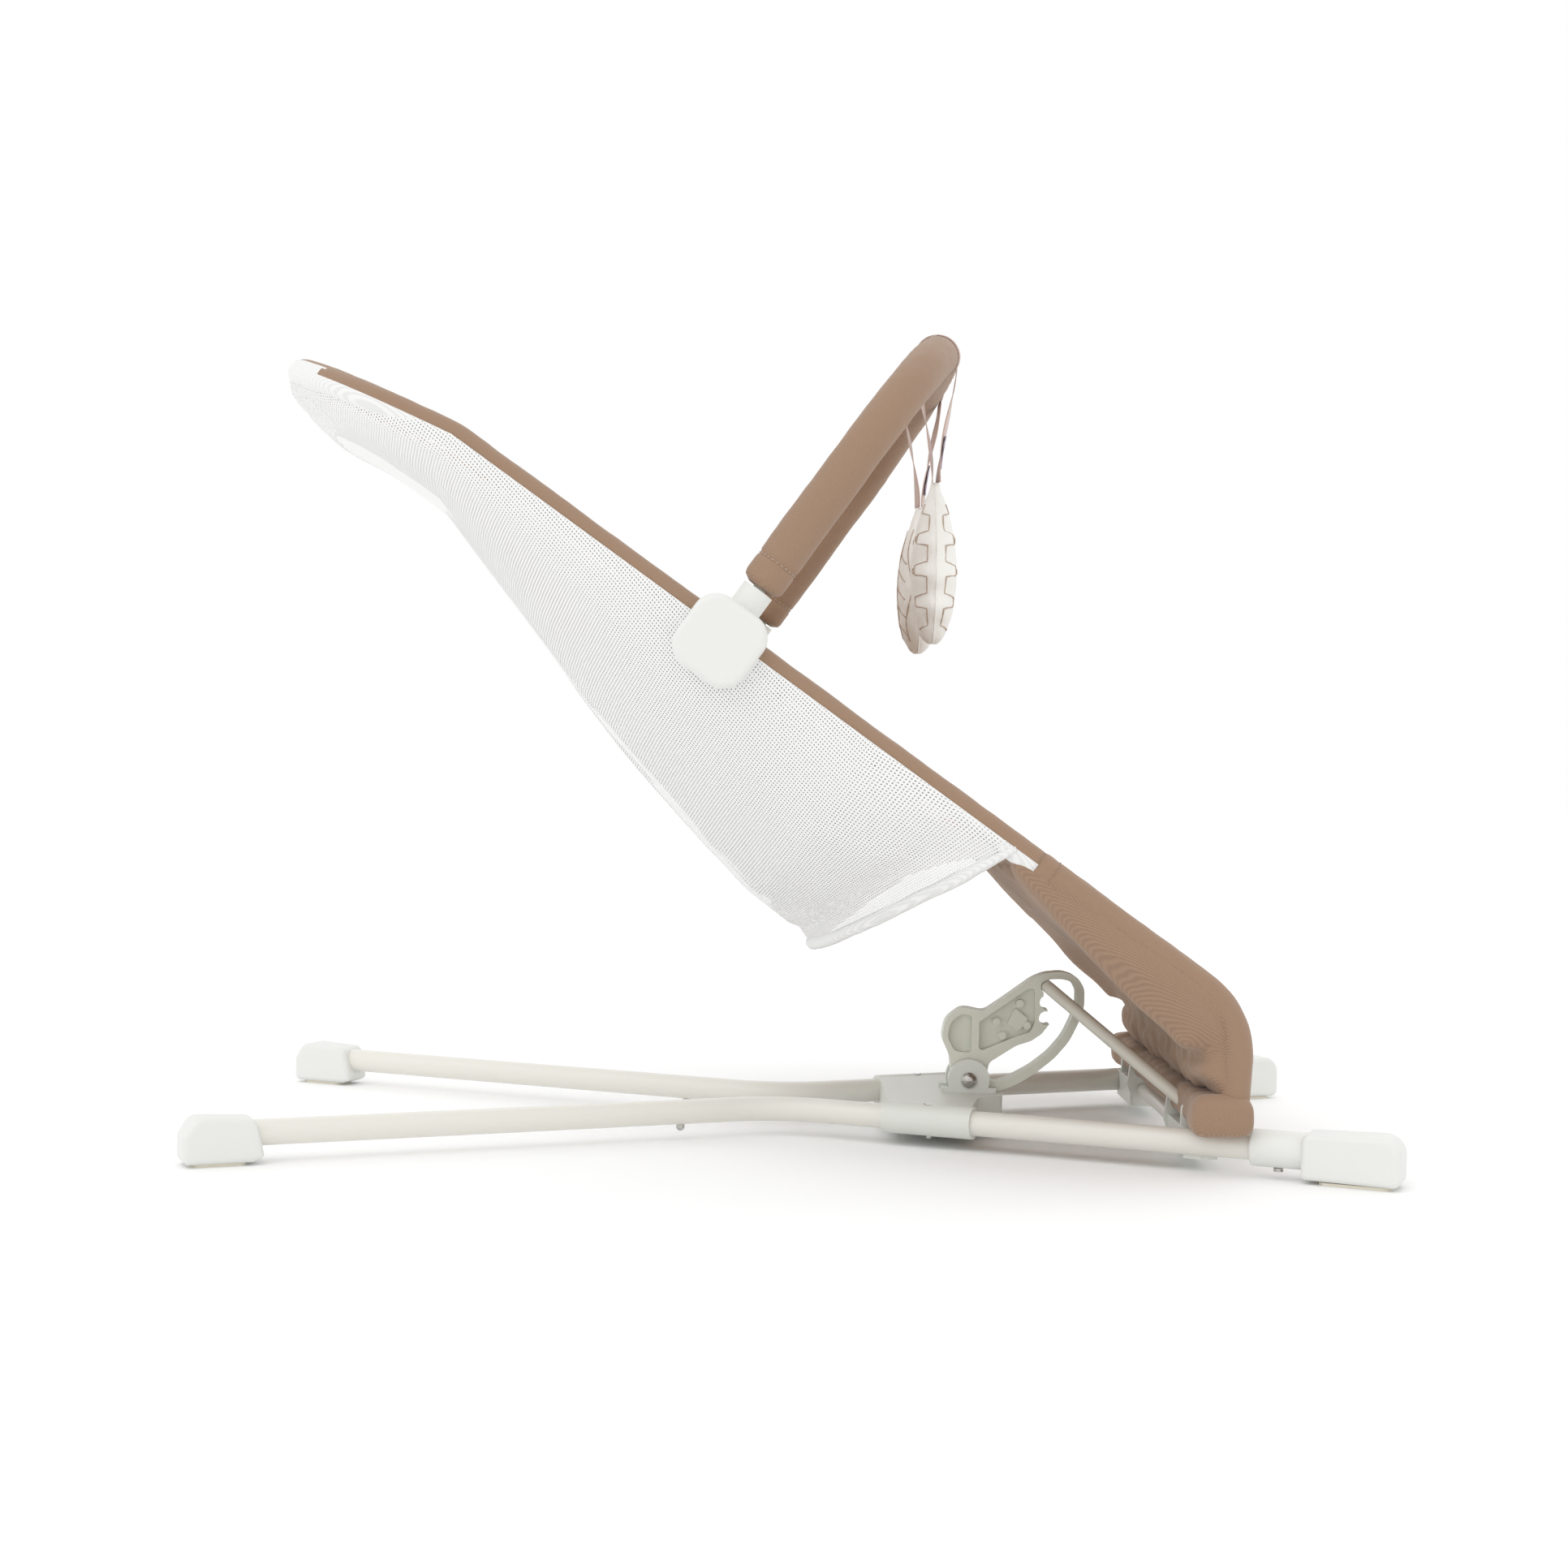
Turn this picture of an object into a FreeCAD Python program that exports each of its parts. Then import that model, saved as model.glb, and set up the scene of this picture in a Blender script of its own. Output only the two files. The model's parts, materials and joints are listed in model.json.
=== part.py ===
"""Baby bouncer seat: tubular base, notched recline arm, hammock seat, harness and toy bar.

Frame: +X to the foot end, +Y to the sitter's left, +Z up, millimetres.
The origin is on the floor, under the middle of the object.
"""
import FreeCAD, Part
import math
import os
from FreeCAD import Placement, Rotation, Vector

doc = FreeCAD.newDocument("bouncer_seat")

# ---------------------------------------------------------------- driving dimensions
UP = Vector(0, 0, 1)
ALONG_Y = Vector(0, 1, 0)
DIMENSIONS = [
    # base
    ("half_length", 440.0), ("tube_radius", 9.5), ("tube_bore", 8.0), ("tube_height", 21.5),
    ("base_angle", 23.4), ("apex_x", -10.0), ("apex_y", 34.0), ("base_bend", 92.0),
    ("swage_x", -66.0), ("spigot_length", 60.0), ("pad_thickness", 2.2),
    ("rear_foot_length", 58.0), ("rear_foot_width", 30.0), ("rear_foot_height", 33.0),
    ("front_foot_length", 70.0), ("front_foot_width", 35.0), ("front_foot_height", 35.5),
    ("foot_sleeve_radius", 13.5), ("front_sleeve_x", 334.0),
    # hub and recline arm
    ("hub_start_x", 73.0), ("hub_sleeve_end_x", 139.0), ("hub_end_x", 168.0),
    ("hub_top", 33.0), ("hub_bottom", 9.5), ("hub_sleeve_radius", 12.4),
    ("pivot_x", 142.0), ("pivot_z", 43.0), ("ear_radius", 16.6), ("ear_thickness", 6.0),
    ("arm_thickness", 18.0), ("arm_web", 6.0), ("arm_gap", 0.6), ("bolt_radius", 3.0),
    # recline hinge, strut and cross tube
    ("hinge_x", 300.0), ("hinge_z", 40.0), ("bar_radius", 6.35), ("bar_half_length", 190.0),
    ("cross_tube_radius", 6.25), ("cross_tube_z", 22.4), ("plate_inner_y", 89.0),
    ("plate_thickness", 4.0), ("notch_x", 62.5), ("notch_z", 75.0), ("rod_radius", 5.0),
    ("strut_half_width", 17.0), ("strut_foot_y", 126.0),
    # seat frame
    ("seat_tube_radius", 8.0), ("seat_tube_bore", 6.7), ("casing_thickness", 1.9),
    ("seat_slope", 35.2), ("foot_half_width", 190.0), ("mid_half_width", 200.0),
    ("head_half_width", 168.0), ("head_bend", 130.0), ("knee_bend", 60.0), ("joint_x", 172.0),
    ("edge_gap", 18.0),
    # toy bar
    ("clip_x", -58.8), ("clip_z", 380.2), ("clip_half_side", 29.5), ("clip_corner", 18.5),
    ("clip_outer_y", 225.0), ("clip_inner_y", 184.0), ("clip_split_y", 200.0),
    ("arch_height", 285.0), ("arch_shoulder", 224.0), ("arch_rod_radius", 5.0),
    ("arch_cover_radius", 16.0), ("cover_start", 48.0), ("rod_start", 26.0), ("socket_end", 46.0),
    ("socket_radius", 12.0), ("toy_y", 90.0), ("ribbon_width", 13.0), ("ribbon_thickness", 1.2),
    ("toy_length", 123.0), ("toy_thickness", 35.0), ("toy_width", 74.0),
]
sheet = doc.addObject("Spreadsheet::Sheet", "dims")
for row, (alias, value) in enumerate(DIMENSIONS, start=1):
    sheet.set(f"A{row}", alias)
    sheet.set(f"B{row}", str(value))
    sheet.setAlias(f"B{row}", alias)
doc.recompute()

subparts = {}


def dim(alias):
    """A driving dimension's value, read from the sheet."""
    return float(getattr(sheet, alias))


def bind(thing, **expressions):
    """Bind properties of an object to expressions over the sheet."""
    for name, expression in expressions.items():
        thing.setExpression(name, expression)
    return thing


def register(node, thing):
    """Name an object as a finished sub-part."""
    thing.Label = node
    subparts[node] = thing
    return thing


def feature(name, shape):
    """A Part::Feature for a shape made in code."""
    thing = doc.addObject("Part::Feature", name)
    thing.Shape = shape
    return thing


def cut(name, base, *tools):
    """Base minus every tool."""
    for number, tool in enumerate(tools):
        step = doc.addObject("Part::Cut", f"{name}_cut{number}")
        step.Base, step.Tool = base, tool
        base = step
    return base


def fuse(name, *pieces):
    """One solid from several that overlap."""
    whole = doc.addObject("Part::MultiFuse", name)
    whole.Shapes = list(pieces)
    whole.Refine = True
    return whole


def mirrored(node, source):
    """The same piece on the sitter's other side."""
    twin = doc.addObject("Part::Mirroring", node)
    twin.Source = source
    twin.Base = Vector(0, 0, 0)
    twin.Normal = ALONG_Y
    return register(node, twin)


def cylinder(name, radius, height, base, direction=UP):
    """A cylinder bound to the sheet; radius and height are expressions."""
    rod = doc.addObject("Part::Cylinder", name)
    bind(rod, Radius=radius, Height=height)
    rod.Placement = Placement(base, Rotation(UP, direction))
    return rod


def box(name, length, width, height, corner):
    """A box bound to the sheet; the sizes are expressions."""
    block = doc.addObject("Part::Box", name)
    bind(block, Length=length, Width=width, Height=height)
    block.Placement.Base = corner
    return block


# ---------------------------------------------------------------- paths and outlines
def corner_reach(points, radii, corners):
    """How far each corner's arc runs along its sides, shrunk where two arcs would meet."""
    count = len(points)
    reach = [0.0] * count
    for i in corners:
        back = (points[i - 1] - points[i]).normalize()
        ahead = (points[(i + 1) % count] - points[i]).normalize()
        reach[i] = radii[i] * math.tan((math.pi - back.getAngle(ahead)) / 2)
    scale = [1.0] * count
    for i in range(count):
        following = (i + 1) % count
        wanted = reach[i] + reach[following]
        run = 0.98 * (points[i] - points[following]).Length
        if wanted > run:
            scale[i] = min(scale[i], run / wanted)
            scale[following] = min(scale[following], run / wanted)
    return [length * factor for length, factor in zip(reach, scale)]


def rounded_wire(points, radii, closed=False):
    """Straight runs joined by tangent arcs; radii holds one value per corner (0 is sharp)."""
    count = len(points)
    corners = range(count) if closed else range(1, count - 1)
    reach = corner_reach(points, radii, corners)
    starts, ends, arcs = {}, {}, {}
    for i in range(count):
        starts[i] = ends[i] = points[i]
    for i in corners:
        if reach[i] < 1e-3:
            continue
        corner = points[i]
        back = (points[i - 1] - corner).normalize()
        ahead = (points[(i + 1) % count] - corner).normalize()
        half_turn = (math.pi - back.getAngle(ahead)) / 2
        radius = reach[i] / math.tan(half_turn)
        bisector = (back + ahead).normalize()
        middle = corner + bisector * (radius / math.cos(half_turn) - radius)
        starts[i], ends[i] = corner + back * reach[i], corner + ahead * reach[i]
        arcs[i] = Part.Arc(starts[i], middle, ends[i]).toShape()
    edges = []
    for i in range(count):
        if i in arcs:
            edges.append(arcs[i])
        following = (i + 1) % count
        if following == 0 and not closed:
            break
        if ends[i].distanceToPoint(starts[following]) > 1e-5:
            edges.append(Part.LineSegment(ends[i], starts[following]).toShape())
    return Part.Wire(edges)


def swept(name, wire, radius):
    """A round bar along a path; radius is an expression."""
    spine = feature(f"{name}_path", wire)
    ring = doc.addObject("Part::Circle", f"{name}_ring")
    bind(ring, Radius=radius)
    first = wire.OrderedEdges[0]
    start = wire.OrderedVertexes[0].Point
    at_start = first.Vertexes[0].Point.distanceToPoint(start) < 1e-5
    where = first.FirstParameter if at_start else first.LastParameter
    ring.Placement = Placement(start, Rotation(UP, first.tangentAt(where)))
    bar = doc.addObject("Part::Sweep", name)
    bar.Sections = [ring]
    bar.Spine = (spine, [f"Edge{number + 1}" for number in range(len(wire.Edges))])
    bar.Solid = True
    bar.Frenet = False
    return bar


def pipe(name, wire, radius, bore):
    """A hollow tube along a path."""
    return cut(name, swept(f"{name}_outside", wire, radius), swept(f"{name}_inside", wire, bore))


def plate(name, outline, direction, length):
    """A flat outline pushed out along a direction; length is an expression."""
    face = feature(f"{name}_outline", Part.Face(outline))
    solid = doc.addObject("Part::Extrusion", name)
    solid.Base = face
    solid.DirMode = "Custom"
    solid.Dir = direction
    solid.Solid = True
    bind(solid, LengthFwd=length)
    return solid


def rounded_solid(name, source, radius, chosen):
    """Fillet the edges of source that the test picks."""
    doc.recompute()
    numbers = [i + 1 for i, edge in enumerate(source.Shape.Edges) if chosen(edge)]
    soft = doc.addObject("Part::Fillet", name)
    soft.Base = source
    soft.Edges = [(number, radius, radius) for number in numbers]
    return soft


# ---------------------------------------------------------------- base tubes
slope = math.tan(math.radians(dim("base_angle")))


def base_point(x):
    """Centre of the left base tube at x."""
    run = abs(x - dim("apex_x"))
    return Vector(x, dim("apex_y") + run * slope, dim("tube_height"))


def base_direction(sign):
    """Direction of the left base tube away from the apex; sign is +1 to the front."""
    angle = math.radians(dim("base_angle"))
    return Vector(sign * math.cos(angle), math.sin(angle), 0)


REAR_TUBE_X = -424.0
FRONT_TUBE_X = 402.0
FOOT_ENTRY_X = -382.5
FRONT_BLOCK_X = 369.0


def make_base_tubes():
    bend = [0, dim("base_bend"), 0]
    apex = Vector(dim("apex_x"), dim("apex_y"), dim("tube_height"))
    swage = base_point(dim("swage_x"))
    route = rounded_wire([swage, apex, base_point(FRONT_TUBE_X)], bend)
    tube = pipe("front_tube_pipe", route, "dims.tube_radius", "dims.tube_bore")
    spigot = cylinder("spigot", "dims.tube_bore - 0.05", "dims.spigot_length + 4",
                      swage - base_direction(-1) * 4, base_direction(-1))
    hollow = cylinder("spigot_hollow", "dims.tube_bore - 1.6", "dims.spigot_length + 20",
                      swage - base_direction(-1) * 10, base_direction(-1))
    button = base_point(BUTTON_X)
    hole = cylinder("front_tube_button_hole", "3.5", "14", Vector(button.x, button.y, 6))
    screw = base_point(HUB_SCREW_X)
    screw_hole = cylinder("front_tube_screw_hole", "2.1", "30", Vector(screw.x, screw.y, 4))
    foot = base_point(FOOT_SCREW_X)
    foot_hole = cylinder("front_tube_foot_hole", "2.1", "14", Vector(foot.x, foot.y, 6))
    collar = cylinder("spigot_collar", "dims.tube_bore + 0.6", "5", swage - base_direction(-1) * 5.01,
                      base_direction(-1))
    joined = fuse("front_tube_joined", tube, collar, spigot)
    front = cut("front_tube", joined, hollow, hole, screw_hole, foot_hole)
    register("front_base_tube_left", front)
    mirrored("front_base_tube_right", front)
    rear_route = rounded_wire([swage, base_point(REAR_TUBE_X)], [0, 0])
    leg = pipe("rear_leg_pipe", rear_route, "dims.tube_radius", "dims.tube_bore")
    leg_hole = cylinder("rear_leg_button_hole", "3.5", "14", Vector(button.x, button.y, 6))
    rear = register("rear_leg_left", cut("rear_leg", leg, leg_hole))
    mirrored("rear_leg_right", rear)


BUTTON_X = -86.0
HUB_SCREW_X = 106.0
FOOT_SCREW_X = 352.0


def make_snap_buttons():
    """Spring buttons that lock the rear legs onto the front tubes; they press upwards."""
    place = base_point(BUTTON_X)
    stem = cylinder("snap_button_stem", "3.3", "9", Vector(place.x, place.y, 10.2))
    dome = doc.addObject("Part::Sphere", "snap_button_dome")
    dome.Radius = 3.3
    dome.Placement.Base = Vector(place.x, place.y, 10.2)
    button = register("snap_button_left", fuse("snap_button", stem, dome))
    mirrored("snap_button_right", button)


# ---------------------------------------------------------------- feet
def foot_frame(x, sign):
    """Placement with local +X along the left tube, away from the apex, on the floor."""
    spot = base_point(x)
    return Placement(Vector(spot.x, spot.y, 0), Rotation(Vector(1, 0, 0), base_direction(sign)))


def foot_block(name, profile, radii, width, where):
    """A foot from its side profile (along, up), as wide as given, edges softened."""
    points = [Vector(along, -width / 2, up) for along, up in profile]
    outline = rounded_wire(points, radii, closed=True)
    block = plate(f"{name}_block", outline, ALONG_Y, str(width))
    block.Placement = where
    side = where.Rotation.multVec(ALONG_Y)

    def on_side(edge):
        return all(abs(abs((vertex.Point - where.Base).dot(side)) - width / 2) < 0.01
                   for vertex in edge.Vertexes)
    return rounded_solid(f"{name}_soft", block, 4.0, on_side)


def make_rear_feet():
    floor, length = dim("pad_thickness"), dim("rear_foot_length")
    top = floor + dim("rear_foot_height")
    where = foot_frame(FOOT_ENTRY_X, -1)
    profile = [(0, floor + 3), (8, floor), (length, floor), (length, floor + 20), (length - 8, top),
               (6, top - 2)]
    block = foot_block("rear_foot", profile, [4, 6, 5, 6, 9, 7], dim("rear_foot_width"), where)
    bore = cylinder("rear_foot_bore", "dims.tube_radius", "48", base_point(FOOT_ENTRY_X + 1),
                    base_direction(-1))
    foot = register("rear_foot_left", cut("rear_foot", block, bore))
    mirrored("rear_foot_right", foot)


def make_front_feet():
    floor, length = dim("pad_thickness"), dim("front_foot_length")
    top = floor + dim("front_foot_height")
    where = foot_frame(FRONT_BLOCK_X, 1)
    profile = [(0, floor + 1), (length, floor), (length, top), (0, top - 2)]
    block = foot_block("front_foot", profile, [4, 6, 14, 6], dim("front_foot_width"), where)
    sleeve = cylinder("front_foot_sleeve", "dims.foot_sleeve_radius", "52",
                      base_point(dim("front_sleeve_x")), base_direction(1))
    lip = rounded_solid("front_foot_lip", sleeve, 2.0, lambda edge: edge.Length < 90
                        and edge.Curve.TypeId == "Part::GeomCircle" and edge.BoundBox.XMax < 345)
    bore = cylinder("front_foot_bore", "dims.tube_radius", "dims.front_foot_length + 6",
                    base_point(dim("front_sleeve_x") - 0.5), base_direction(1))
    hole = cylinder("front_foot_hole", "2.0", "16", Vector(*base_point(FOOT_SCREW_X)[:2], 0))
    spot = base_point(FOOT_SCREW_X)
    shank = cylinder("foot_screw_shank", "2.0", "10", Vector(spot.x, spot.y, 6.6))
    head = cylinder("foot_screw_head", "3.6", "2.4", Vector(spot.x, spot.y, 5.4))
    screw = fuse("foot_screw", shank, head)
    joined = fuse("front_foot_joined", block, lip)
    foot = register("front_foot_left", cut("front_foot", joined, bore, hole, screw))
    mirrored("front_foot_right", foot)
    other = doc.addObject("Part::Mirroring", "foot_screw_twin")
    other.Source, other.Base, other.Normal = screw, Vector(0, 0, 0), ALONG_Y
    pair = doc.addObject("Part::Compound", "foot_screw_pair")
    pair.Links = [screw, other]
    register("front_foot_screws", pair)


def make_foot_pads():
    """Thin rubber pads under the feet, a pair of each size."""
    for name, x, sign, length, width in (
            ("rear_foot_pads", FOOT_ENTRY_X, -1, dim("rear_foot_length"), dim("rear_foot_width")),
            ("front_foot_pads", FRONT_BLOCK_X, 1, dim("front_foot_length"), dim("front_foot_width"))):
        where = foot_frame(x, sign)
        points = [Vector(12, -width / 2 + 4, 0), Vector(length - 7, -width / 2 + 4, 0),
                  Vector(length - 7, width / 2 - 4, 0), Vector(12, width / 2 - 4, 0)]
        outline = rounded_wire(points, [6] * 4, closed=True)
        pad = plate(f"{name}_one", outline, UP, "dims.pad_thickness")
        pad.Placement = where
        twin = doc.addObject("Part::Mirroring", f"{name}_twin")
        twin.Source, twin.Base, twin.Normal = pad, Vector(0, 0, 0), ALONG_Y
        pair = doc.addObject("Part::Compound", f"{name}_pair")
        pair.Links = [pad, twin]
        register(name, pair)


# ---------------------------------------------------------------- hub
def make_hub():
    """One moulding: a sleeve round each tube, a deck between them and two pivot ears."""
    start, end, nose = dim("hub_start_x"), dim("hub_sleeve_end_x"), dim("hub_end_x")
    length = (end - start) / math.cos(math.radians(dim("base_angle")))
    sleeves, bores = [], []
    for side in (1, -1):
        place, heading = base_point(start), base_direction(1)
        place.y, heading.y = side * place.y, side * heading.y
        sleeves.append(cylinder(f"hub_sleeve{side}", "dims.hub_sleeve_radius", str(length), place, heading))
        bores.append(cylinder(f"hub_bore{side}", "dims.tube_radius + 0.02", "140",
                              place - heading * 20, heading))
    half_start, half_end = base_point(start).y - 2, base_point(end).y - 2
    deck_outline = [Vector(start + 2, -half_start, 0), Vector(end - 2, -half_end, 0), Vector(end + 8, -42, 0),
                    Vector(nose, -27, 0), Vector(nose, 27, 0), Vector(end + 8, 42, 0),
                    Vector(end - 2, half_end, 0), Vector(start + 2, half_start, 0)]
    for point in deck_outline:
        point.z = dim("hub_bottom")
    deck = plate("hub_deck", rounded_wire(deck_outline, [5, 5, 14, 6, 6, 14, 5, 5], closed=True),
                 UP, "dims.hub_top - dims.hub_bottom")
    pivot = Vector(dim("pivot_x"), 0, dim("pivot_z"))
    inner = dim("arm_thickness") / 2 + dim("arm_gap")
    ears = []
    for side in (1, -1):
        base = Vector(pivot.x, side * inner, pivot.z)
        disc = cylinder(f"hub_ear{side}", "dims.ear_radius", "dims.ear_thickness", base, Vector(0, side, 0))
        low_y = inner if side > 0 else -inner - dim("ear_thickness")
        foot = box(f"hub_ear_foot{side}", "44", "dims.ear_thickness", "20",
                   Vector(pivot.x - 22, low_y, dim("hub_top") - 16))
        ears += [disc, foot]
    whole = fuse("hub_whole", deck, *sleeves, *ears)
    whole.Refine = False
    slot = cylinder("hub_slot", "dims.ear_radius + 1", "dims.arm_thickness + 2 * dims.arm_gap",
                    Vector(pivot.x, -inner, pivot.z), ALONG_Y)
    slot_front = box("hub_slot_front", "60", "dims.arm_thickness + 2 * dims.arm_gap", "20",
                     Vector(pivot.x, -inner, pivot.z - dim("ear_radius") - 1))
    bolt_hole = cylinder("hub_bolt_hole", "dims.bolt_radius", "60", Vector(pivot.x, -30, pivot.z), ALONG_Y)
    hub = cut("base_hub", whole, *bores, slot, slot_front, bolt_hole)
    screws, holes = [], []
    for side in (1, -1):
        spot = base_point(HUB_SCREW_X)
        y = side * spot.y
        top = dim("tube_height") + dim("hub_sleeve_radius")
        shank = cylinder(f"hub_screw_shank{side}", "2.0", "26", Vector(spot.x, y, 7.5))
        head = cylinder(f"hub_screw_head{side}", "4.2", "2.6", Vector(spot.x, y, top - 2.8))
        screws.append(fuse(f"hub_screw{side}", shank, head))
        holes.append(cylinder(f"hub_screw_hole{side}", "2.05", "40", Vector(spot.x, y, 0)))
        holes.append(cylinder(f"hub_screw_recess{side}", "4.6", "6", Vector(spot.x, y, top - 2.85)))
    register("base_hub", cut("hub_drilled", hub, *holes))
    group = doc.addObject("Part::Compound", "hub_screw_group")
    group.Links = screws
    register("hub_screws", group)


def make_pivot_hardware():
    """M6 bolt, lock nut and two washers through the ears and the arm."""
    pivot = Vector(dim("pivot_x"), 0, dim("pivot_z"))
    face = dim("arm_thickness") / 2 + dim("arm_gap") + dim("ear_thickness")
    shank = cylinder("bolt_shank", "dims.bolt_radius", "46", pivot - Vector(0, face + 1.6, 0), ALONG_Y)
    dome = doc.addObject("Part::Sphere", "bolt_dome")
    dome.Radius, dome.Angle1, dome.Angle2 = 7.5, 35, 90
    dome.Placement = Placement(pivot - Vector(0, face - 2.7, 0), Rotation(UP, Vector(0, -1, 0)))
    register("pivot_bolt", fuse("pivot_bolt_whole", shank, dome))
    nut = doc.addObject("Part::Prism", "nut_blank")
    nut.Polygon = 6
    nut.Circumradius = 5.75
    nut.Height = 6.0
    nut.Placement = Placement(pivot + Vector(0, face + 1.6, 0), Rotation(UP, ALONG_Y))
    drill = cylinder("nut_drill", "dims.bolt_radius", "20", pivot + Vector(0, face, 0), ALONG_Y)
    register("pivot_nut", cut("pivot_nut_cut", nut, drill))
    washers = []
    for side in (1, -1):
        disc = cylinder(f"washer_disc{side}", "6.3", "1.6",
                        pivot + Vector(0, side * face, 0), Vector(0, side, 0))
        hole = cylinder(f"washer_hole{side}", "dims.bolt_radius", "4",
                        pivot + Vector(0, side * (face - 1), 0),
                        Vector(0, side, 0))
        washers.append(cut(f"washer{side}", disc, hole))
    group = doc.addObject("Part::Compound", "washer_group")
    group.Links = washers
    register("pivot_washers", group)


# ---------------------------------------------------------------- recline arm
NOTCHES = [(62.5, 75.0), (61.7, 62.4), (61.3, 49.8)]
TOOTH_TIPS_X = [59.2, 62.6, 64.3]
NOTCH_RADIUS = 5.5


def arm_point(x, z):
    """A point of the arm, given from its pivot."""
    return Vector(dim("pivot_x") + x, 0, dim("pivot_z") + z)


def notch_edges():
    """The notched edge of the arm, from the top seat down to the lower hook."""
    edges, last = [], None
    entry_x = TOOTH_TIPS_X[0]
    for (x, z), tip_x in zip(NOTCHES, TOOTH_TIPS_X):
        rise = math.sqrt(NOTCH_RADIUS ** 2 - (x - entry_x) ** 2)
        drop = math.sqrt(max(NOTCH_RADIUS ** 2 - (x - tip_x) ** 2, 0))
        first = arm_point(entry_x, z + rise)
        middle = arm_point(x - NOTCH_RADIUS, z)
        end = arm_point(tip_x, z - drop)
        if last is not None:
            edges.append(Part.LineSegment(last, first).toShape())
        edges.append(Part.Arc(first, middle, end).toShape())
        last, entry_x = end, tip_x
    return edges


def make_recline_arm():
    """Notched arm and its spring strap in one moulding: rim, web, bosses and a raised block."""
    outline = [(0, -13.5), (20, -10.5), (38, -4.5), (53.5, 5.4), (68.5, 17.5), (80.5, 31.6), (87.5, 46.2),
               (91.9, 60), (92, 74), (86, 84), (74, 87.5), (60, 86), (50.3, 81.9), (27.1, 64.9), (12, 54.5),
               (-6, 58), (-19, 48), (-22, 33), (-15, 18), (-13.2, 0)]
    radii = [13, 60, 60, 60, 50, 50, 40, 20, 14, 14, 20, 30, 30, 60, 10, 12, 14, 16, 14, 14]
    outer = rounded_wire([arm_point(x, z) for x, z in outline], radii, closed=True)
    notches = notch_edges()
    first, last = notches[0].Vertexes[0].Point, notches[-1].Vertexes[-1].Point
    run = [(last.x - dim("pivot_x"), last.z - dim("pivot_z")), (58, 37), (50, 31.4), (38, 27.4), (16.5, 13.5),
           (14.5, 3), (19, -3.6), (34, 1.8), (49.6, 10.6), (64, 22), (75.2, 35.2), (81.6, 49), (86, 61), (86, 72),
           (82, 79.5), (73.5, 81.6), (64.5, 81.2), (first.x - dim("pivot_x"), first.z - dim("pivot_z"))]
    bends = [0, 5, 12, 20, 7, 5, 8, 60, 60, 50, 50, 30, 15, 10, 9, 20, 3, 0]
    slot = Part.Wire(notches + rounded_wire([arm_point(x, z) for x, z in run], bends).Edges)
    pocket_points = [(8, 22), (36, 34), (49, 38.5), (52.5, 46), (52.2, 74), (46, 73), (30, 61.5), (13, 49.5),
                     (8, 46)]
    pocket = rounded_wire([arm_point(x, z) for x, z in pocket_points], [3] * 9, closed=True)
    lobe_points = [(2, 21), (2, 51), (-6, 52.5), (-15, 45.5), (-17.5, 34), (-11.5, 22)]
    lobe = rounded_wire([arm_point(x, z) for x, z in lobe_points], [3, 3, 7, 9, 9, 7], closed=True)

    def slab(name, wire, thickness):
        solid = plate(name, wire, ALONG_Y, thickness)
        solid.Symmetric = True
        return solid
    body = slab("arm_rim", outer, "dims.arm_thickness")
    through = [slab("arm_slot", slot, "dims.arm_thickness + 2"),
               slab("arm_pocket", pocket, "dims.arm_thickness + 2"),
               slab("arm_lobe", lobe, "dims.arm_thickness + 2")]
    rim = cut("arm_frame", body, *through)
    fillings = [slab("arm_web_main", pocket, "dims.arm_web"), slab("arm_web_lobe", lobe, "dims.arm_web")]
    for number, (x, z) in enumerate([(40.5, 61), (22, 46), (46.5, 43.5), (27, 35)]):
        fillings.append(cylinder(f"arm_boss{number}", "3.2", "dims.arm_thickness - 3",
                                 arm_point(x, z) - Vector(0, dim("arm_thickness") / 2 - 1.5, 0), ALONG_Y))
    block_points = [(30.5, 44.5), (40, 38.6), (47.5, 49), (36.5, 57.5)]
    block = rounded_wire([arm_point(x, z) for x, z in block_points], [2] * 4, closed=True)
    fillings.append(slab("arm_block", block, "dims.arm_thickness - 5"))
    whole = fuse("arm_whole", rim, *fillings)
    bore = cylinder("arm_bore", "dims.bolt_radius + 0.06", "60", arm_point(0, 0) - Vector(0, 30, 0), ALONG_Y)
    register("recline_arm", cut("recline_arm_bored", whole, bore))


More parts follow.
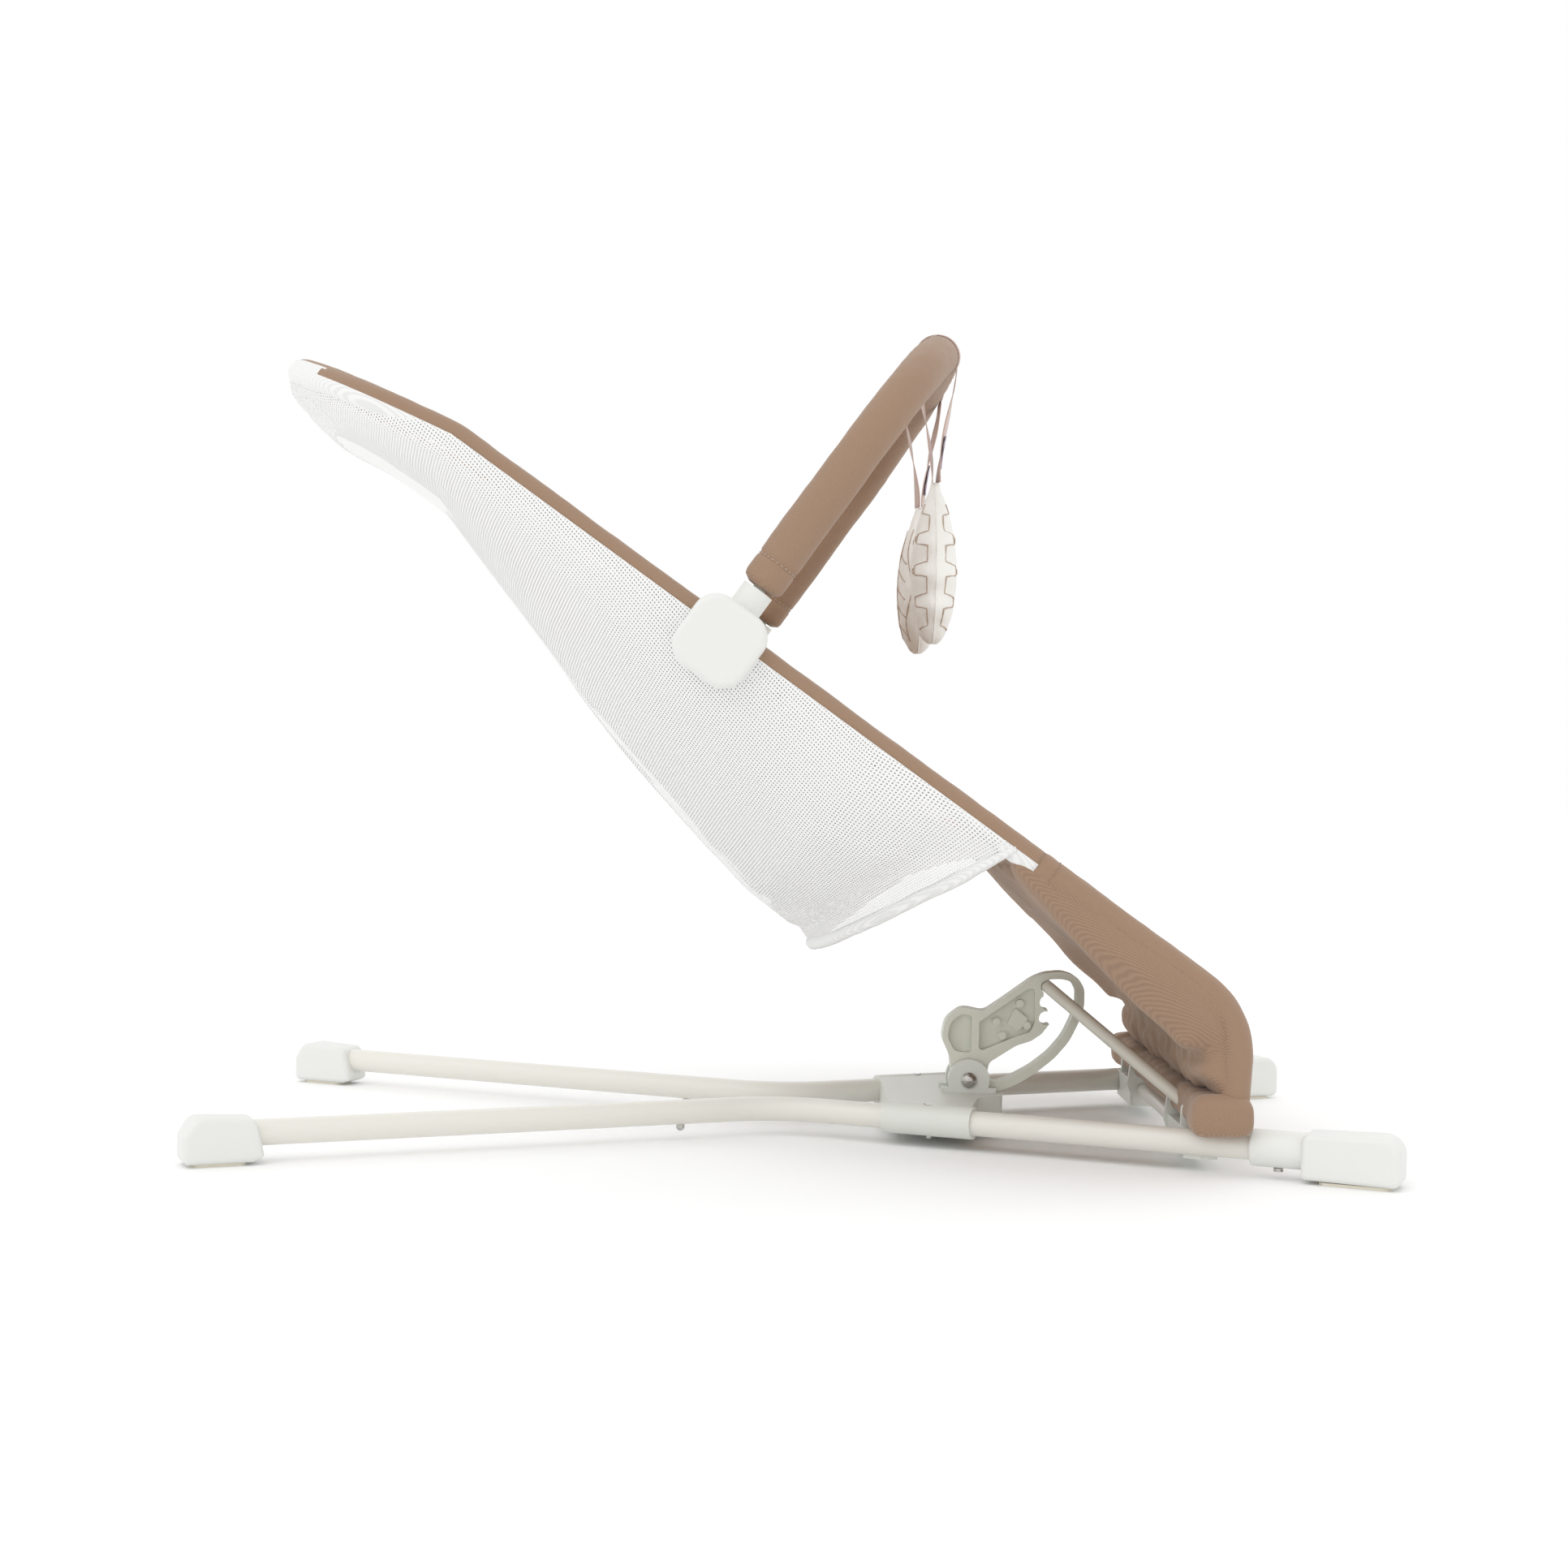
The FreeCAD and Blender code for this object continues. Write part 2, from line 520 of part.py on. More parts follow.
# ---------------------------------------------------------------- recline hinge
def make_cross_tube_and_brackets():
    """A cross tube between two brackets that also carry the seat's bottom bar."""
    hinge = Vector(dim("hinge_x"), 0, dim("hinge_z"))
    low = dim("cross_tube_z")
    inner = dim("plate_inner_y")
    tube_start = Vector(hinge.x, -inner - 30, low)
    tube = pipe("cross_tube_pipe", rounded_wire([tube_start, Vector(hinge.x, inner + 30, low)], [0, 0]),
                "dims.cross_tube_radius", "dims.cross_tube_radius - 1.2")
    register("cross_tube", tube)
    shield = [Vector(hinge.x + x, inner, z) for x, z in
              ((-15, 27), (-8, 9), (8, 9), (15, 27), (12, 47), (0, 55), (-12, 47))]
    face = plate("bracket_plate", rounded_wire(shield, [9, 6, 6, 9, 8, 10, 8], closed=True), ALONG_Y,
                 "dims.plate_thickness")
    body = box("bracket_body", "24", "78", "22", Vector(hinge.x - 12, inner + 1, 9))
    ear_profile = [Vector(hinge.x + x, 143, z) for x, z in ((-12, 22), (12, 22), (11, 50), (-11, 50))]
    ear = plate("bracket_ear", rounded_wire(ear_profile, [0, 0, 9, 9], closed=True), ALONG_Y,
                "dims.plate_thickness")
    whole = fuse("bracket_whole", face, body, ear)
    base_start = base_point(200)
    saddle = cylinder("bracket_saddle", "dims.tube_radius + 0.02", "220", base_start, base_direction(1))
    beyond_points = [base_point(200), base_point(400), Vector(400, 400, 0), Vector(200, 400, 0)]
    for point in beyond_points:
        point.z = -5
    beyond = plate("bracket_beyond", Part.makePolygon(beyond_points + beyond_points[:1]), UP, "80")
    cross_hole = cylinder("bracket_cross_hole", "dims.cross_tube_radius", "36",
                          Vector(hinge.x, inner - 6, low),
                          ALONG_Y)
    bar_hole = cylinder("bracket_bar_hole", "dims.bar_radius + 0.06", "90",
                        Vector(hinge.x, inner - 10, hinge.z),
                        ALONG_Y)
    left = register("hinge_bracket_left", cut("bracket", whole, saddle, beyond, cross_hole, bar_hole))
    mirrored("hinge_bracket_right", left)


def make_bottom_bar_and_strut():
    hinge = Vector(dim("hinge_x"), 0, dim("hinge_z"))
    reach = dim("bar_half_length")
    register("bottom_bar", cylinder("bottom_bar_rod", "dims.bar_radius", "2 * dims.bar_half_length",
                                    hinge - Vector(0, reach, 0), ALONG_Y))
    top = arm_point(dim("notch_x"), dim("notch_z"))
    side, foot = dim("strut_half_width"), dim("strut_foot_y")
    route = [Vector(hinge.x - 1, -foot, hinge.z + 1), Vector(top.x, -side, top.z), Vector(top.x, side, top.z),
             Vector(hinge.x - 1, foot, hinge.z + 1)]
    rod = swept("strut_rod", rounded_wire(route, [0, 9, 9, 0]), "dims.rod_radius")
    trim = cylinder("strut_trim", "dims.bar_radius", "2 * dims.bar_half_length", hinge - Vector(0, reach, 0),
                    ALONG_Y)
    under = box("strut_under", "30", "400", "12", Vector(hinge.x - 4, -200, hinge.z - 11))
    register("recline_strut", cut("strut", rod, trim, under))


# ---------------------------------------------------------------- seat frame
seat_angle = math.radians(dim("seat_slope"))
HEAD_BEND_POINT = Vector(-254, 0, 525.5)
HEAD_CORNER = Vector(-388, 0, 586)
KNEE_POINT = Vector(323.5, 0, 118)
FRAME_END = Vector(318, 0, 44)
MIDDLE_BEND = 1500
NECK_BEND = 95


def on_seat_line(x):
    """Height of the straight part of the side tubes at x."""
    return HEAD_BEND_POINT.z - (x - HEAD_BEND_POINT.x) * math.tan(seat_angle)


def side_point(point, half_width):
    return Vector(point.x, half_width, point.z)


def half_width_at(x):
    """Half-width of the frame along its straight part."""
    knee, middle = KNEE_POINT.x, dim("clip_x")
    if x > middle:
        share = (x - middle) / (knee - middle)
        return dim("mid_half_width") + share * (dim("foot_half_width") - dim("mid_half_width"))
    share = (middle - x) / (middle - HEAD_BEND_POINT.x)
    return dim("mid_half_width") - 10 * share


def frame_routes(joint_x):
    """Paths of the upper hoop and of the left side tube, cut at the joint."""
    joint = Vector(joint_x, half_width_at(joint_x), on_seat_line(joint_x))
    middle = Vector(dim("clip_x"), dim("mid_half_width"), on_seat_line(dim("clip_x")))
    bend = side_point(HEAD_BEND_POINT, dim("mid_half_width") - 10)
    corner = side_point(HEAD_CORNER, dim("head_half_width"))
    left = [joint, middle, bend, corner]
    right = [Vector(point.x, -point.y, point.z) for point in reversed(left)]
    bends = [0, MIDDLE_BEND, NECK_BEND, dim("head_bend")]
    hoop = rounded_wire(left + right, bends + bends[::-1])
    lower = rounded_wire([side_point(FRAME_END, dim("foot_half_width")),
                          side_point(KNEE_POINT, dim("foot_half_width")), joint], [0, dim("knee_bend"), 0])
    return hoop, lower


def make_seat_frame():
    hoop, lower = frame_routes(dim("joint_x"))
    register("upper_hoop", pipe("upper_hoop_pipe", hoop, "dims.seat_tube_radius", "dims.seat_tube_bore"))
    tube = pipe("side_tube_pipe", lower, "dims.seat_tube_radius", "dims.seat_tube_bore")
    joint = Vector(dim("joint_x"), half_width_at(dim("joint_x")), on_seat_line(dim("joint_x")))
    middle = Vector(dim("clip_x"), dim("mid_half_width"), on_seat_line(dim("clip_x")))
    heading = (middle - joint).normalize()
    collar = cylinder("side_tube_collar", "dims.seat_tube_bore + 0.6", "6", joint - heading * 6.01, heading)
    plug = cylinder("side_tube_plug", "dims.seat_tube_bore - 0.05", "38", joint - heading * 6, heading)
    hollow = cylinder("side_tube_hollow", "dims.seat_tube_bore - 1.4", "60", joint - heading * 12, heading)
    left = register("side_tube_left", cut("side_tube", fuse("side_tube_whole", tube, collar, plug), hollow))
    mirrored("side_tube_right", left)
    for node, seam in (("upper", -1.0), ("lower", 1.0)):
        cover_hoop, cover_lower = frame_routes(dim("joint_x") + seam)
        route = cover_hoop if node == "upper" else cover_lower
        cover = pipe(f"casing_{node}", route, "dims.seat_tube_radius + dims.casing_thickness",
                     "dims.seat_tube_radius + 0.02")
        if node == "upper":
            register("tube_casing_upper", cover)
        else:
            end = box("casing_lower_end", "60", "60", "40", Vector(290, 160, 20))
            left_cover = register("tube_casing_left", cut("casing_lower_cut", cover, end))
            mirrored("tube_casing_right", left_cover)


def make_corner_clips():
    """White mouldings that join the bottom bar to the ends of the side tubes."""
    hinge = Vector(dim("hinge_x"), 0, dim("hinge_z"))
    outline = [Vector(x, 178.5, z) for x, z in ((290, 31.8), (329, 31.8), (330, 56), (306, 56), (289, 46))]
    block = plate("clip_block", rounded_wire(outline, [7, 8, 5, 6, 7], closed=True), ALONG_Y, "23")
    soft = rounded_solid("clip_block_soft", block, 2.5, lambda edge: edge.BoundBox.YLength < 0.01)
    bar_hole = cylinder("clip_bar_hole", "dims.bar_radius", "dims.bar_half_length - 170",
                        hinge + Vector(0, 170, 0), ALONG_Y)
    heading = (KNEE_POINT - FRAME_END).normalize()
    tube_hole = cylinder("clip_tube_hole", "dims.seat_tube_radius", "60",
                         side_point(FRAME_END, dim("foot_half_width")), heading)
    left = register("corner_clip_left", cut("corner_clip", soft, bar_hole, tube_hole))
    mirrored("corner_clip_right", left)


# ---------------------------------------------------------------- hammock surfaces
# (distance along the side tube from the head, depth of the centre line below it)
DEPTHS = [(0, 19), (16, 27.5), (38, 33.5), (76, 35.5), (110, 41), (149, 49), (249, 79), (353, 112),
          (424, 129), (481, 141), (539, 148), (566, 131), (586, 101), (608, 67), (630, 33), (648, 16),
          (662, 13), (684, 15), (712, 20), (770, 21), (834, 20)]
# the sling's free front edge: its lowest point in the middle, and how far it runs on to the side tubes
HEM_ALONG, HEM_REACH, HEM_DEPTH = 583.4, 65.0, 151.7
SLING_LAST_ROW = 524.0
HEAD_RUN = (HEAD_BEND_POINT - HEAD_CORNER).Length


def depth_at(along):
    """Depth of the hammock's centre line, smooth between the listed places."""
    for i in range(len(DEPTHS) - 1):
        (left, here), (right, there) = DEPTHS[i], DEPTHS[i + 1]
        if along <= right:
            break
    before = DEPTHS[max(i - 1, 0)]
    after = DEPTHS[min(i + 2, len(DEPTHS) - 1)]
    slope_in = (there - before[1]) / (right - before[0])
    slope_out = (after[1] - here) / (after[0] - left)
    width = right - left
    share = min(max((along - left) / width, 0.0), 1.0)
    a, b = 1 - share, share
    return (a * a * (1 + 2 * b) * here + b * b * (3 - 2 * b) * there
            + a * a * b * width * slope_in - a * b * b * width * slope_out)


def edge_place(along):
    """Middle of the two side tubes and the frame's half-width there."""
    if along < HEAD_RUN:
        heading = (HEAD_BEND_POINT - HEAD_CORNER).normalize()
        centre = HEAD_CORNER + heading * along
        blend = along / HEAD_RUN
        straight = dim("head_half_width") + blend * (dim("mid_half_width") - 10 - dim("head_half_width"))
        bend = dim("head_bend")
        if along >= bend:
            return centre, straight - dim("edge_gap"), heading
        inner = bend - dim("edge_gap")
        across = math.sqrt(max(inner ** 2 - (bend - along) ** 2, 0))
        return centre, straight - bend + across, heading
    travelled = along - HEAD_RUN
    heading = Vector(math.cos(seat_angle), 0, -math.sin(seat_angle))
    centre = HEAD_BEND_POINT + heading * travelled
    return centre, half_width_at(centre.x) - dim("edge_gap"), heading


def hammock_point(along, across):
    """A point of the hammock's underside; across runs from -1 to 1 over a half ellipse."""
    centre, half_width, heading = edge_place(along)
    down = Vector(heading.z, 0, -heading.x)
    angle = across * math.pi / 2
    spot = centre + down * (depth_at(along) * math.cos(angle))
    spot.y = half_width * math.sin(angle)
    return spot


def hammock_normal(along, across, surface=hammock_point):
    """Unit direction from the hammock or sling towards the sitter."""
    limit = 0.985
    across = max(min(across, limit), -limit)
    step = 0.01
    lengthwise = surface(along + 3, across) - surface(along - 3, across)
    sideways = surface(along, across + step) - surface(along, across - step)
    return lengthwise.cross(sideways).normalize()


def sling_point(along, across):
    """A point of the sling: the hammock, drawn out in front to a free edge that hangs between the tubes."""
    if along <= SLING_LAST_ROW:
        return hammock_point(along, across)
    sideways = math.sin(across * math.pi / 2)
    share = (along - SLING_LAST_ROW) / (HEM_ALONG - SLING_LAST_ROW)
    place = along + HEM_REACH * sideways ** 2 * share ** 1.5
    start = depth_at(SLING_LAST_ROW) * math.cos(across * math.pi / 2)
    depth = start + (HEM_DEPTH * (1 - sideways ** 2) - start) * share ** 1.5
    centre, half_width, heading = edge_place(place)
    spot = centre + Vector(heading.z, 0, -heading.x) * depth
    spot.y = half_width * sideways
    return spot


def offset_grid(places, acrosses, offset, surface=hammock_point):
    return [[surface(along, across) + hammock_normal(along, across, surface) * offset for across in acrosses]
            for along in places]


def solid_from_grids(lower, upper):
    """A closed solid between two smooth grids of points."""
    skins = []
    for grid in (lower, upper):
        surface = Part.BSplineSurface()
        surface.interpolate(grid)
        skins.append(surface)
    faces = [skin.toShape() for skin in skins]
    u0, u1, v0, v1 = skins[0].bounds()
    for low_curve, high_curve in (
            (skins[0].uIso(u0), skins[1].uIso(u0)), (skins[0].uIso(u1), skins[1].uIso(u1)),
            (skins[0].vIso(v0), skins[1].vIso(v0)), (skins[0].vIso(v1), skins[1].vIso(v1))):
        faces.append(Part.makeRuledSurface(low_curve.toShape(), high_curve.toShape()))
    shell = Part.makeShell(faces)
    shell.sewShape()
    solid = Part.makeSolid(Part.Shell(shell.Faces))
    if solid.Volume < 0:
        solid.reverse()
    return solid


def spread(first, last, count):
    return [first + (last - first) * i / (count - 1) for i in range(count)]


def hammock_patch(name, places, acrosses, low, high):
    solid = solid_from_grids(offset_grid(places, acrosses, low), offset_grid(places, acrosses, high))
    return feature(name, solid)


# heights above the hammock's underside, and how far the flat buckle clears the curved pad
SLING_THICKNESS = 2.0
PAD_LOW, PAD_HIGH = 5.0, 14.5
STRAP_LOW, STRAP_HIGH = 16.0, 18.0
BUCKLE_LIFT = 13.5


def make_soft_seat():
    wide = spread(-1, 1, 25)
    inside = spread(-0.95, 0.95, 25)
    sling_rows = [18, 28, 41, 54, 76, 99, 128, 158, 204, 249, 301, 353, 389, 424, 454, 481, 504,
                  SLING_LAST_ROW, 540, 555, 570, HEM_ALONG]
    sling = solid_from_grids(offset_grid(sling_rows, wide, 0, sling_point),
                             offset_grid(sling_rows, wide, SLING_THICKNESS, sling_point))
    register("mesh_sling", feature("mesh_sling", sling))
    pad_rows = [28, 41, 54, 76, 99, 128, 158, 204, 249, 301, 353, 389, 424, 454, 481, 504, 524, 539, 554, 569,
                586, 597, 608, 619, 630, 639, 648, 662, 684, 712, 741, 770, 798]
    register("seat_pad", hammock_patch("seat_pad", pad_rows, inside, PAD_LOW, PAD_HIGH))
    panel_rows = [652, 662, 684, 712, 741, 770, 800]
    under = hammock_patch("front_panel_top", panel_rows, wide, 0, SLING_THICKNESS)
    half = dim("foot_half_width") - dim("edge_gap")
    drop = [Vector(x, -half, z) for x, z in
            ((296, 116), (302.5, 101), (305, 80), (303, 54), (306.5, 54), (308.5, 80), (307, 102), (300, 118))]
    front = plate("front_panel_drop", rounded_wire(drop, [0, 12, 30, 0, 0, 30, 12, 0], closed=True),
                  ALONG_Y, str(2 * half))
    group = doc.addObject("Part::Compound", "front_panel_group")
    group.Links = [under, front]
    register("front_panel", group)


# ---------------------------------------------------------------- harness
WAIST_ALONG = 534.0
BUCKLE_ALONG = 554.0


def make_harness():
    """Crotch strap and two waist straps lying on the pad, with a push-button buckle."""
    crotch = spread(-0.09, 0.09, 3)
    register("crotch_strap", hammock_patch("crotch_strap", [592, 603, 614, 625, 636, 645, 654, 664], crotch,
                                           STRAP_LOW, STRAP_HIGH))
    places = spread(WAIST_ALONG - 14, WAIST_ALONG + 28, 7)
    left = hammock_patch("waist_strap", places, spread(0.2, 0.85, 9), STRAP_LOW, STRAP_HIGH)
    register("waist_strap_left", left)
    mirrored("waist_strap_right", left)
    normal = hammock_normal(BUCKLE_ALONG, 0)
    seat = hammock_point(BUCKLE_ALONG, 0) + normal * (PAD_HIGH + BUCKLE_LIFT)
    turn = Rotation(UP, normal)
    where = Placement(seat, turn)
    shell = box("buckle_shell", "44", "52", "15", Vector(-22, -26, 0))
    soft = rounded_solid("buckle_soft", shell, 5.0, lambda edge: edge.BoundBox.ZLength < 0.01
                         and edge.BoundBox.ZMin > 10 or edge.BoundBox.ZLength > 10)
    well = cylinder("buckle_well", "10.4", "12", Vector(0, 0, 6))
    slots = box("buckle_slots", "26.6", "80", "4.2", Vector(-13.3, -40, 1.4))
    core = box("buckle_core", "26.6", "24", "4.2", Vector(-13.3, -12, 1.4))
    body = cut("buckle_hollow", soft, well, cut("buckle_slot_pair", slots, core))
    body.Placement = where
    register("buckle_body", body)
    button = cylinder("buckle_button_blank", "10.0", "8.0", Vector(0, 0, 10.5))
    dome = rounded_solid("buckle_button_soft", button, 1.2, lambda edge: edge.BoundBox.ZMin > 18)
    dome.Placement = where
    register("buckle_button", dome)
    blade = box("tongue_blade", "26", "34", "3.4", Vector(-13, 12.6, 1.8))
    loop = box("tongue_loop", "34", "14", "5.0", Vector(-17, 32, 1.0))
    tongue = fuse("tongue_whole", blade, loop)
    eye = box("tongue_eye", "27", "3.6", "12", Vector(-13.5, 38, -2))
    left_tongue = cut("tongue", tongue, eye)
    left_tongue.Placement = where
    register("buckle_tongue_left", left_tongue)
    mirrored("buckle_tongue_right", left_tongue)


# ---------------------------------------------------------------- toy bar
arch_up = Vector(math.sin(seat_angle), 0, math.cos(seat_angle))
tube_down = Vector(math.cos(seat_angle), 0, -math.sin(seat_angle))
clip_centre = Vector(dim("clip_x"), 0, dim("clip_z"))


def clip_place(along, up, y):
    """A point at a toy bar clip: along the seat tube, up the arch, and across."""
    spot = clip_centre + tube_down * along + arch_up * up
    spot.y = y
    return spot


def make_toy_bar_clips():
    """Rounded-square hubs in two shells that clamp the side tube and hold the bar's ends."""
    half, corner = dim("clip_half_side"), dim("clip_corner")
    split, outer, inner = dim("clip_split_y"), dim("clip_outer_y"), dim("clip_inner_y")
    square = [clip_place(a, u, split) for a, u in ((half, half), (half, -half), (-half, -half), (-half, half))]
    ahead, behind = dim("clip_x") + 60, dim("clip_x") - 60
    tube_line = [Vector(x, half_width_at(x), on_seat_line(x)) for x in (ahead, dim("clip_x"), behind)]
    tube_bore = swept("clip_tube_bore", rounded_wire(tube_line, [0, MIDDLE_BEND, 0]),
                      "dims.seat_tube_radius + dims.casing_thickness + 0.05")
    rod_bore = cylinder("clip_rod_bore", "dims.arch_rod_radius + 0.06", "60",
                        clip_place(0, dim("rod_start") - 0.2, split), arch_up)
    screws = []
    for number, along in enumerate((-17, 17)):
        where = clip_place(along, -17, inner)
        shank = cylinder(f"clip_shank{number}", "1.7", "28", where, ALONG_Y)
        head = cylinder(f"clip_head{number}", "3.4", "2.2", where, ALONG_Y)
        screws.append(fuse(f"clip_screw{number}", shank, head))
    for name, depth, direction in (("outer", outer - split, 1), ("inner", split - inner, -1)):
        outline = rounded_wire(square, [corner] * 4, closed=True)
        block = plate(f"clip_{name}_block", outline, Vector(0, direction, 0), str(depth))
        face_y = split + direction * depth
        soft = rounded_solid(f"clip_{name}_soft", block, 5.0 if name == "outer" else 2.0,
                             lambda edge: abs(edge.BoundBox.YMin - face_y) < 0.01
                             and edge.BoundBox.YLength < 0.01)
        neck = cylinder(f"clip_{name}_neck", "dims.socket_radius", "dims.socket_end - 20",
                        clip_place(0, 20, split), arch_up)
        half_space = box(f"clip_{name}_half", "400", "60", "400",
                         Vector(-260, split if direction > 0 else split - 60, 180))
        half_neck = doc.addObject("Part::Common", f"clip_{name}_half_neck")
        half_neck.Base, half_neck.Tool = neck, half_space
        whole = fuse(f"clip_{name}_whole", soft, half_neck)
        shell = register(f"clip_hub_{name}_left", cut(f"clip_{name}", whole, tube_bore, rod_bore, *screws))
        mirrored(f"clip_hub_{name}_right", shell)
    pair = doc.addObject("Part::Compound", "clip_screws_left")
    pair.Links = screws
    twin = doc.addObject("Part::Mirroring", "clip_screws_right")
    twin.Source, twin.Base, twin.Normal = pair, Vector(0, 0, 0), ALONG_Y
    group = doc.addObject("Part::Compound", "clip_screw_group")
    group.Links = [pair, twin]
    register("clip_hub_screws", group)


def arch_route(start):
    """The toy bar's path from one end to the other."""
    split, top, shoulder = dim("clip_split_y"), dim("arch_height"), dim("arch_shoulder")
    points = [clip_place(0, up, y) for up, y in ((start, split), (shoulder, split), (top, 88), (top, -88),
                                                 (shoulder, -split), (start, -split))]
    return rounded_wire(points, [0, 108, 240, 240, 108, 0])


def make_toy_bar():
    register("toy_bar_rod", swept("toy_bar_rod_bar", arch_route(dim("rod_start")), "dims.arch_rod_radius"))
    cover = pipe("toy_bar_cover_pipe", arch_route(dim("cover_start")), "dims.arch_cover_radius",
                 "dims.arch_rod_radius + 0.02")
    soft = rounded_solid("toy_bar_cover_soft", cover, 6.0, lambda edge: edge.Closed
                         and abs(edge.Length - 2 * math.pi * dim("arch_cover_radius")) < 0.5
                         and edge.BoundBox.YLength > 20 and edge.BoundBox.ZMax < 450)
    register("toy_bar_cover", soft)


def leaf_section(centre, x, scale):
    """Outline of a leaf toy at one depth: full in the middle and pointed below."""
    length, width = dim("toy_length") * scale, dim("toy_width") * scale
    half = [(0, 0.5), (0.20, 0.44), (0.42, 0.28), (0.5, 0.08), (0.46, -0.14), (0.32, -0.34), (0, -0.5)]
    points = [Vector(x, centre.y + side * across * width, centre.z + up * length)
              for side, rows in ((1, half), (-1, half[-2:0:-1])) for across, up in rows]
    curve = Part.BSplineCurve()
    curve.interpolate(points, PeriodicFlag=True)
    return Part.Wire(curve.toShape())


RIBBON_CLEARANCE = 3.0


def make_toys():
    """Two flat stuffed leaves on ribbon loops round the toy bar."""
    y = dim("toy_y")
    ring = arch_route(dim("rod_start"))
    bar = min(ring.discretize(Number=1200), key=lambda point: abs(point.y - y))
    half, thick = dim("ribbon_width") / 2, dim("ribbon_thickness")
    wrap = dim("arch_cover_radius") + RIBBON_CLEARANCE
    toy_top = bar.z - 96
    outer = cylinder("ribbon_outer", str(wrap + thick), str(2 * half),
                     Vector(bar.x, y - half, bar.z), ALONG_Y)
    tail = box("ribbon_tail", str(2.4), str(2 * half), str(bar.z - wrap - toy_top + 6),
               Vector(bar.x - 1.2, y - half, toy_top - 6))
    hole = cylinder("ribbon_hole", str(wrap), "40", Vector(bar.x, y - 20, bar.z), ALONG_Y)
    centre = Vector(bar.x, y, toy_top - dim("toy_length") / 2)
    sections = [leaf_section(centre, bar.x + depth * dim("toy_thickness"), scale)
                for depth, scale in ((-0.5, 0.5), (-0.36, 0.82), (0, 1), (0.36, 0.82), (0.5, 0.5))]
    puffy = feature("toy_puffy", Part.makeLoft(sections, True))
    notch = box("toy_ribbon_seat", "2.4", str(2 * half), "12", Vector(bar.x - 1.2, y - half, toy_top - 6))
    ribbon = register("toy_ribbon_left", cut("toy_ribbon", fuse("ribbon_whole", outer, tail), hole))
    mirrored("toy_ribbon_right", ribbon)
    toy = register("leaf_toy_left", cut("leaf_toy", puffy, notch))
    mirrored("leaf_toy_right", toy)


# ---------------------------------------------------------------- make, check, write
def check_and_write():
    """Stop on any failed object or bad sub-part, then write one file per sub-part."""
    doc.recompute()
    bad = [thing.Name for thing in doc.Objects if {"Invalid", "Error"} & set(thing.State)]
    if bad:
        raise RuntimeError(f"failed objects: {bad}")
    for node, thing in subparts.items():
        if thing.Shape.isNull() or not thing.Shape.isValid() or not thing.Shape.Solids:
            raise RuntimeError(f"bad shape: {node}")
    os.makedirs("parts", exist_ok=True)
    for node, thing in subparts.items():
        thing.Shape.exportStep(f"parts/{node}.step")
    print(f"{len(subparts)} sub-parts written")


make_base_tubes()
make_snap_buttons()
make_rear_feet()
make_front_feet()
make_foot_pads()
make_hub()
make_pivot_hardware()
make_recline_arm()
make_cross_tube_and_brackets()
make_bottom_bar_and_strut()
make_seat_frame()
make_corner_clips()
make_soft_seat()
make_harness()
make_toy_bar_clips()
make_toy_bar()
make_toys()
check_and_write()
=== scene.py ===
"""Looks of the baby bouncer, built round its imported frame. Metres, frame axes, +X to the foot end."""
import json
import math
from contextlib import contextmanager

import bmesh
import bpy
from mathutils import Matrix, Vector, noise


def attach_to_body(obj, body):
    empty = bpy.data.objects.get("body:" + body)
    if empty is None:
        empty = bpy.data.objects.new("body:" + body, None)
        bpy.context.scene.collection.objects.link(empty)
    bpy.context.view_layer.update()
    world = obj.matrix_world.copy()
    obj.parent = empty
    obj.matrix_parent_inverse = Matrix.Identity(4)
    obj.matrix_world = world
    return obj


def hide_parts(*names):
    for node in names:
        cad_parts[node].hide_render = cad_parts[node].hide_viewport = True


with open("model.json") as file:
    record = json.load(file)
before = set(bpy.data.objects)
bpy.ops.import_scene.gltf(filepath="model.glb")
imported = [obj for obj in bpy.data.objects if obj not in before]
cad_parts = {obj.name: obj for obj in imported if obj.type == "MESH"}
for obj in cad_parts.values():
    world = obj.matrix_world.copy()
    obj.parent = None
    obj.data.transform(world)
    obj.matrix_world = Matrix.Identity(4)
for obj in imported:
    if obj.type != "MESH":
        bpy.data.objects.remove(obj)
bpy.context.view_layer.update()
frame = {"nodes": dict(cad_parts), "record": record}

NODES = frame["nodes"]
JOINTS = {joint["name"]: joint for joint in frame["record"]["behaviour"]["joints"]}
MM = 0.001

# ---------------------------------------------------------------- driving dimensions of the seat, in metres
SEAT_ANGLE = math.radians(35.2)
HEAD_BEND = Vector((-0.254, 0, 0.5255))
HEAD_CORNER = Vector((-0.388, 0, 0.586))
KNEE = Vector((0.3235, 0, 0.118))
FRAME_END = Vector((0.318, 0, 0.044))
HEAD_HALF_WIDTH, MID_HALF_WIDTH, FOOT_HALF_WIDTH = 0.168, 0.200, 0.190
HEAD_RADIUS, KNEE_RADIUS, NECK_RADIUS = 0.130, 0.060, 0.095
CLIP_X, JOINT_X = -0.0588, 0.172
CASING_RADIUS = 0.0103
HEAD_RUN = (HEAD_BEND - HEAD_CORNER).length
DOWN_SEAT = Vector((math.cos(SEAT_ANGLE), 0, -math.sin(SEAT_ANGLE)))
HEAD_HEADING = (HEAD_BEND - HEAD_CORNER).normalized()
UP_SEAT = Vector((math.sin(SEAT_ANGLE), 0, math.cos(SEAT_ANGLE)))
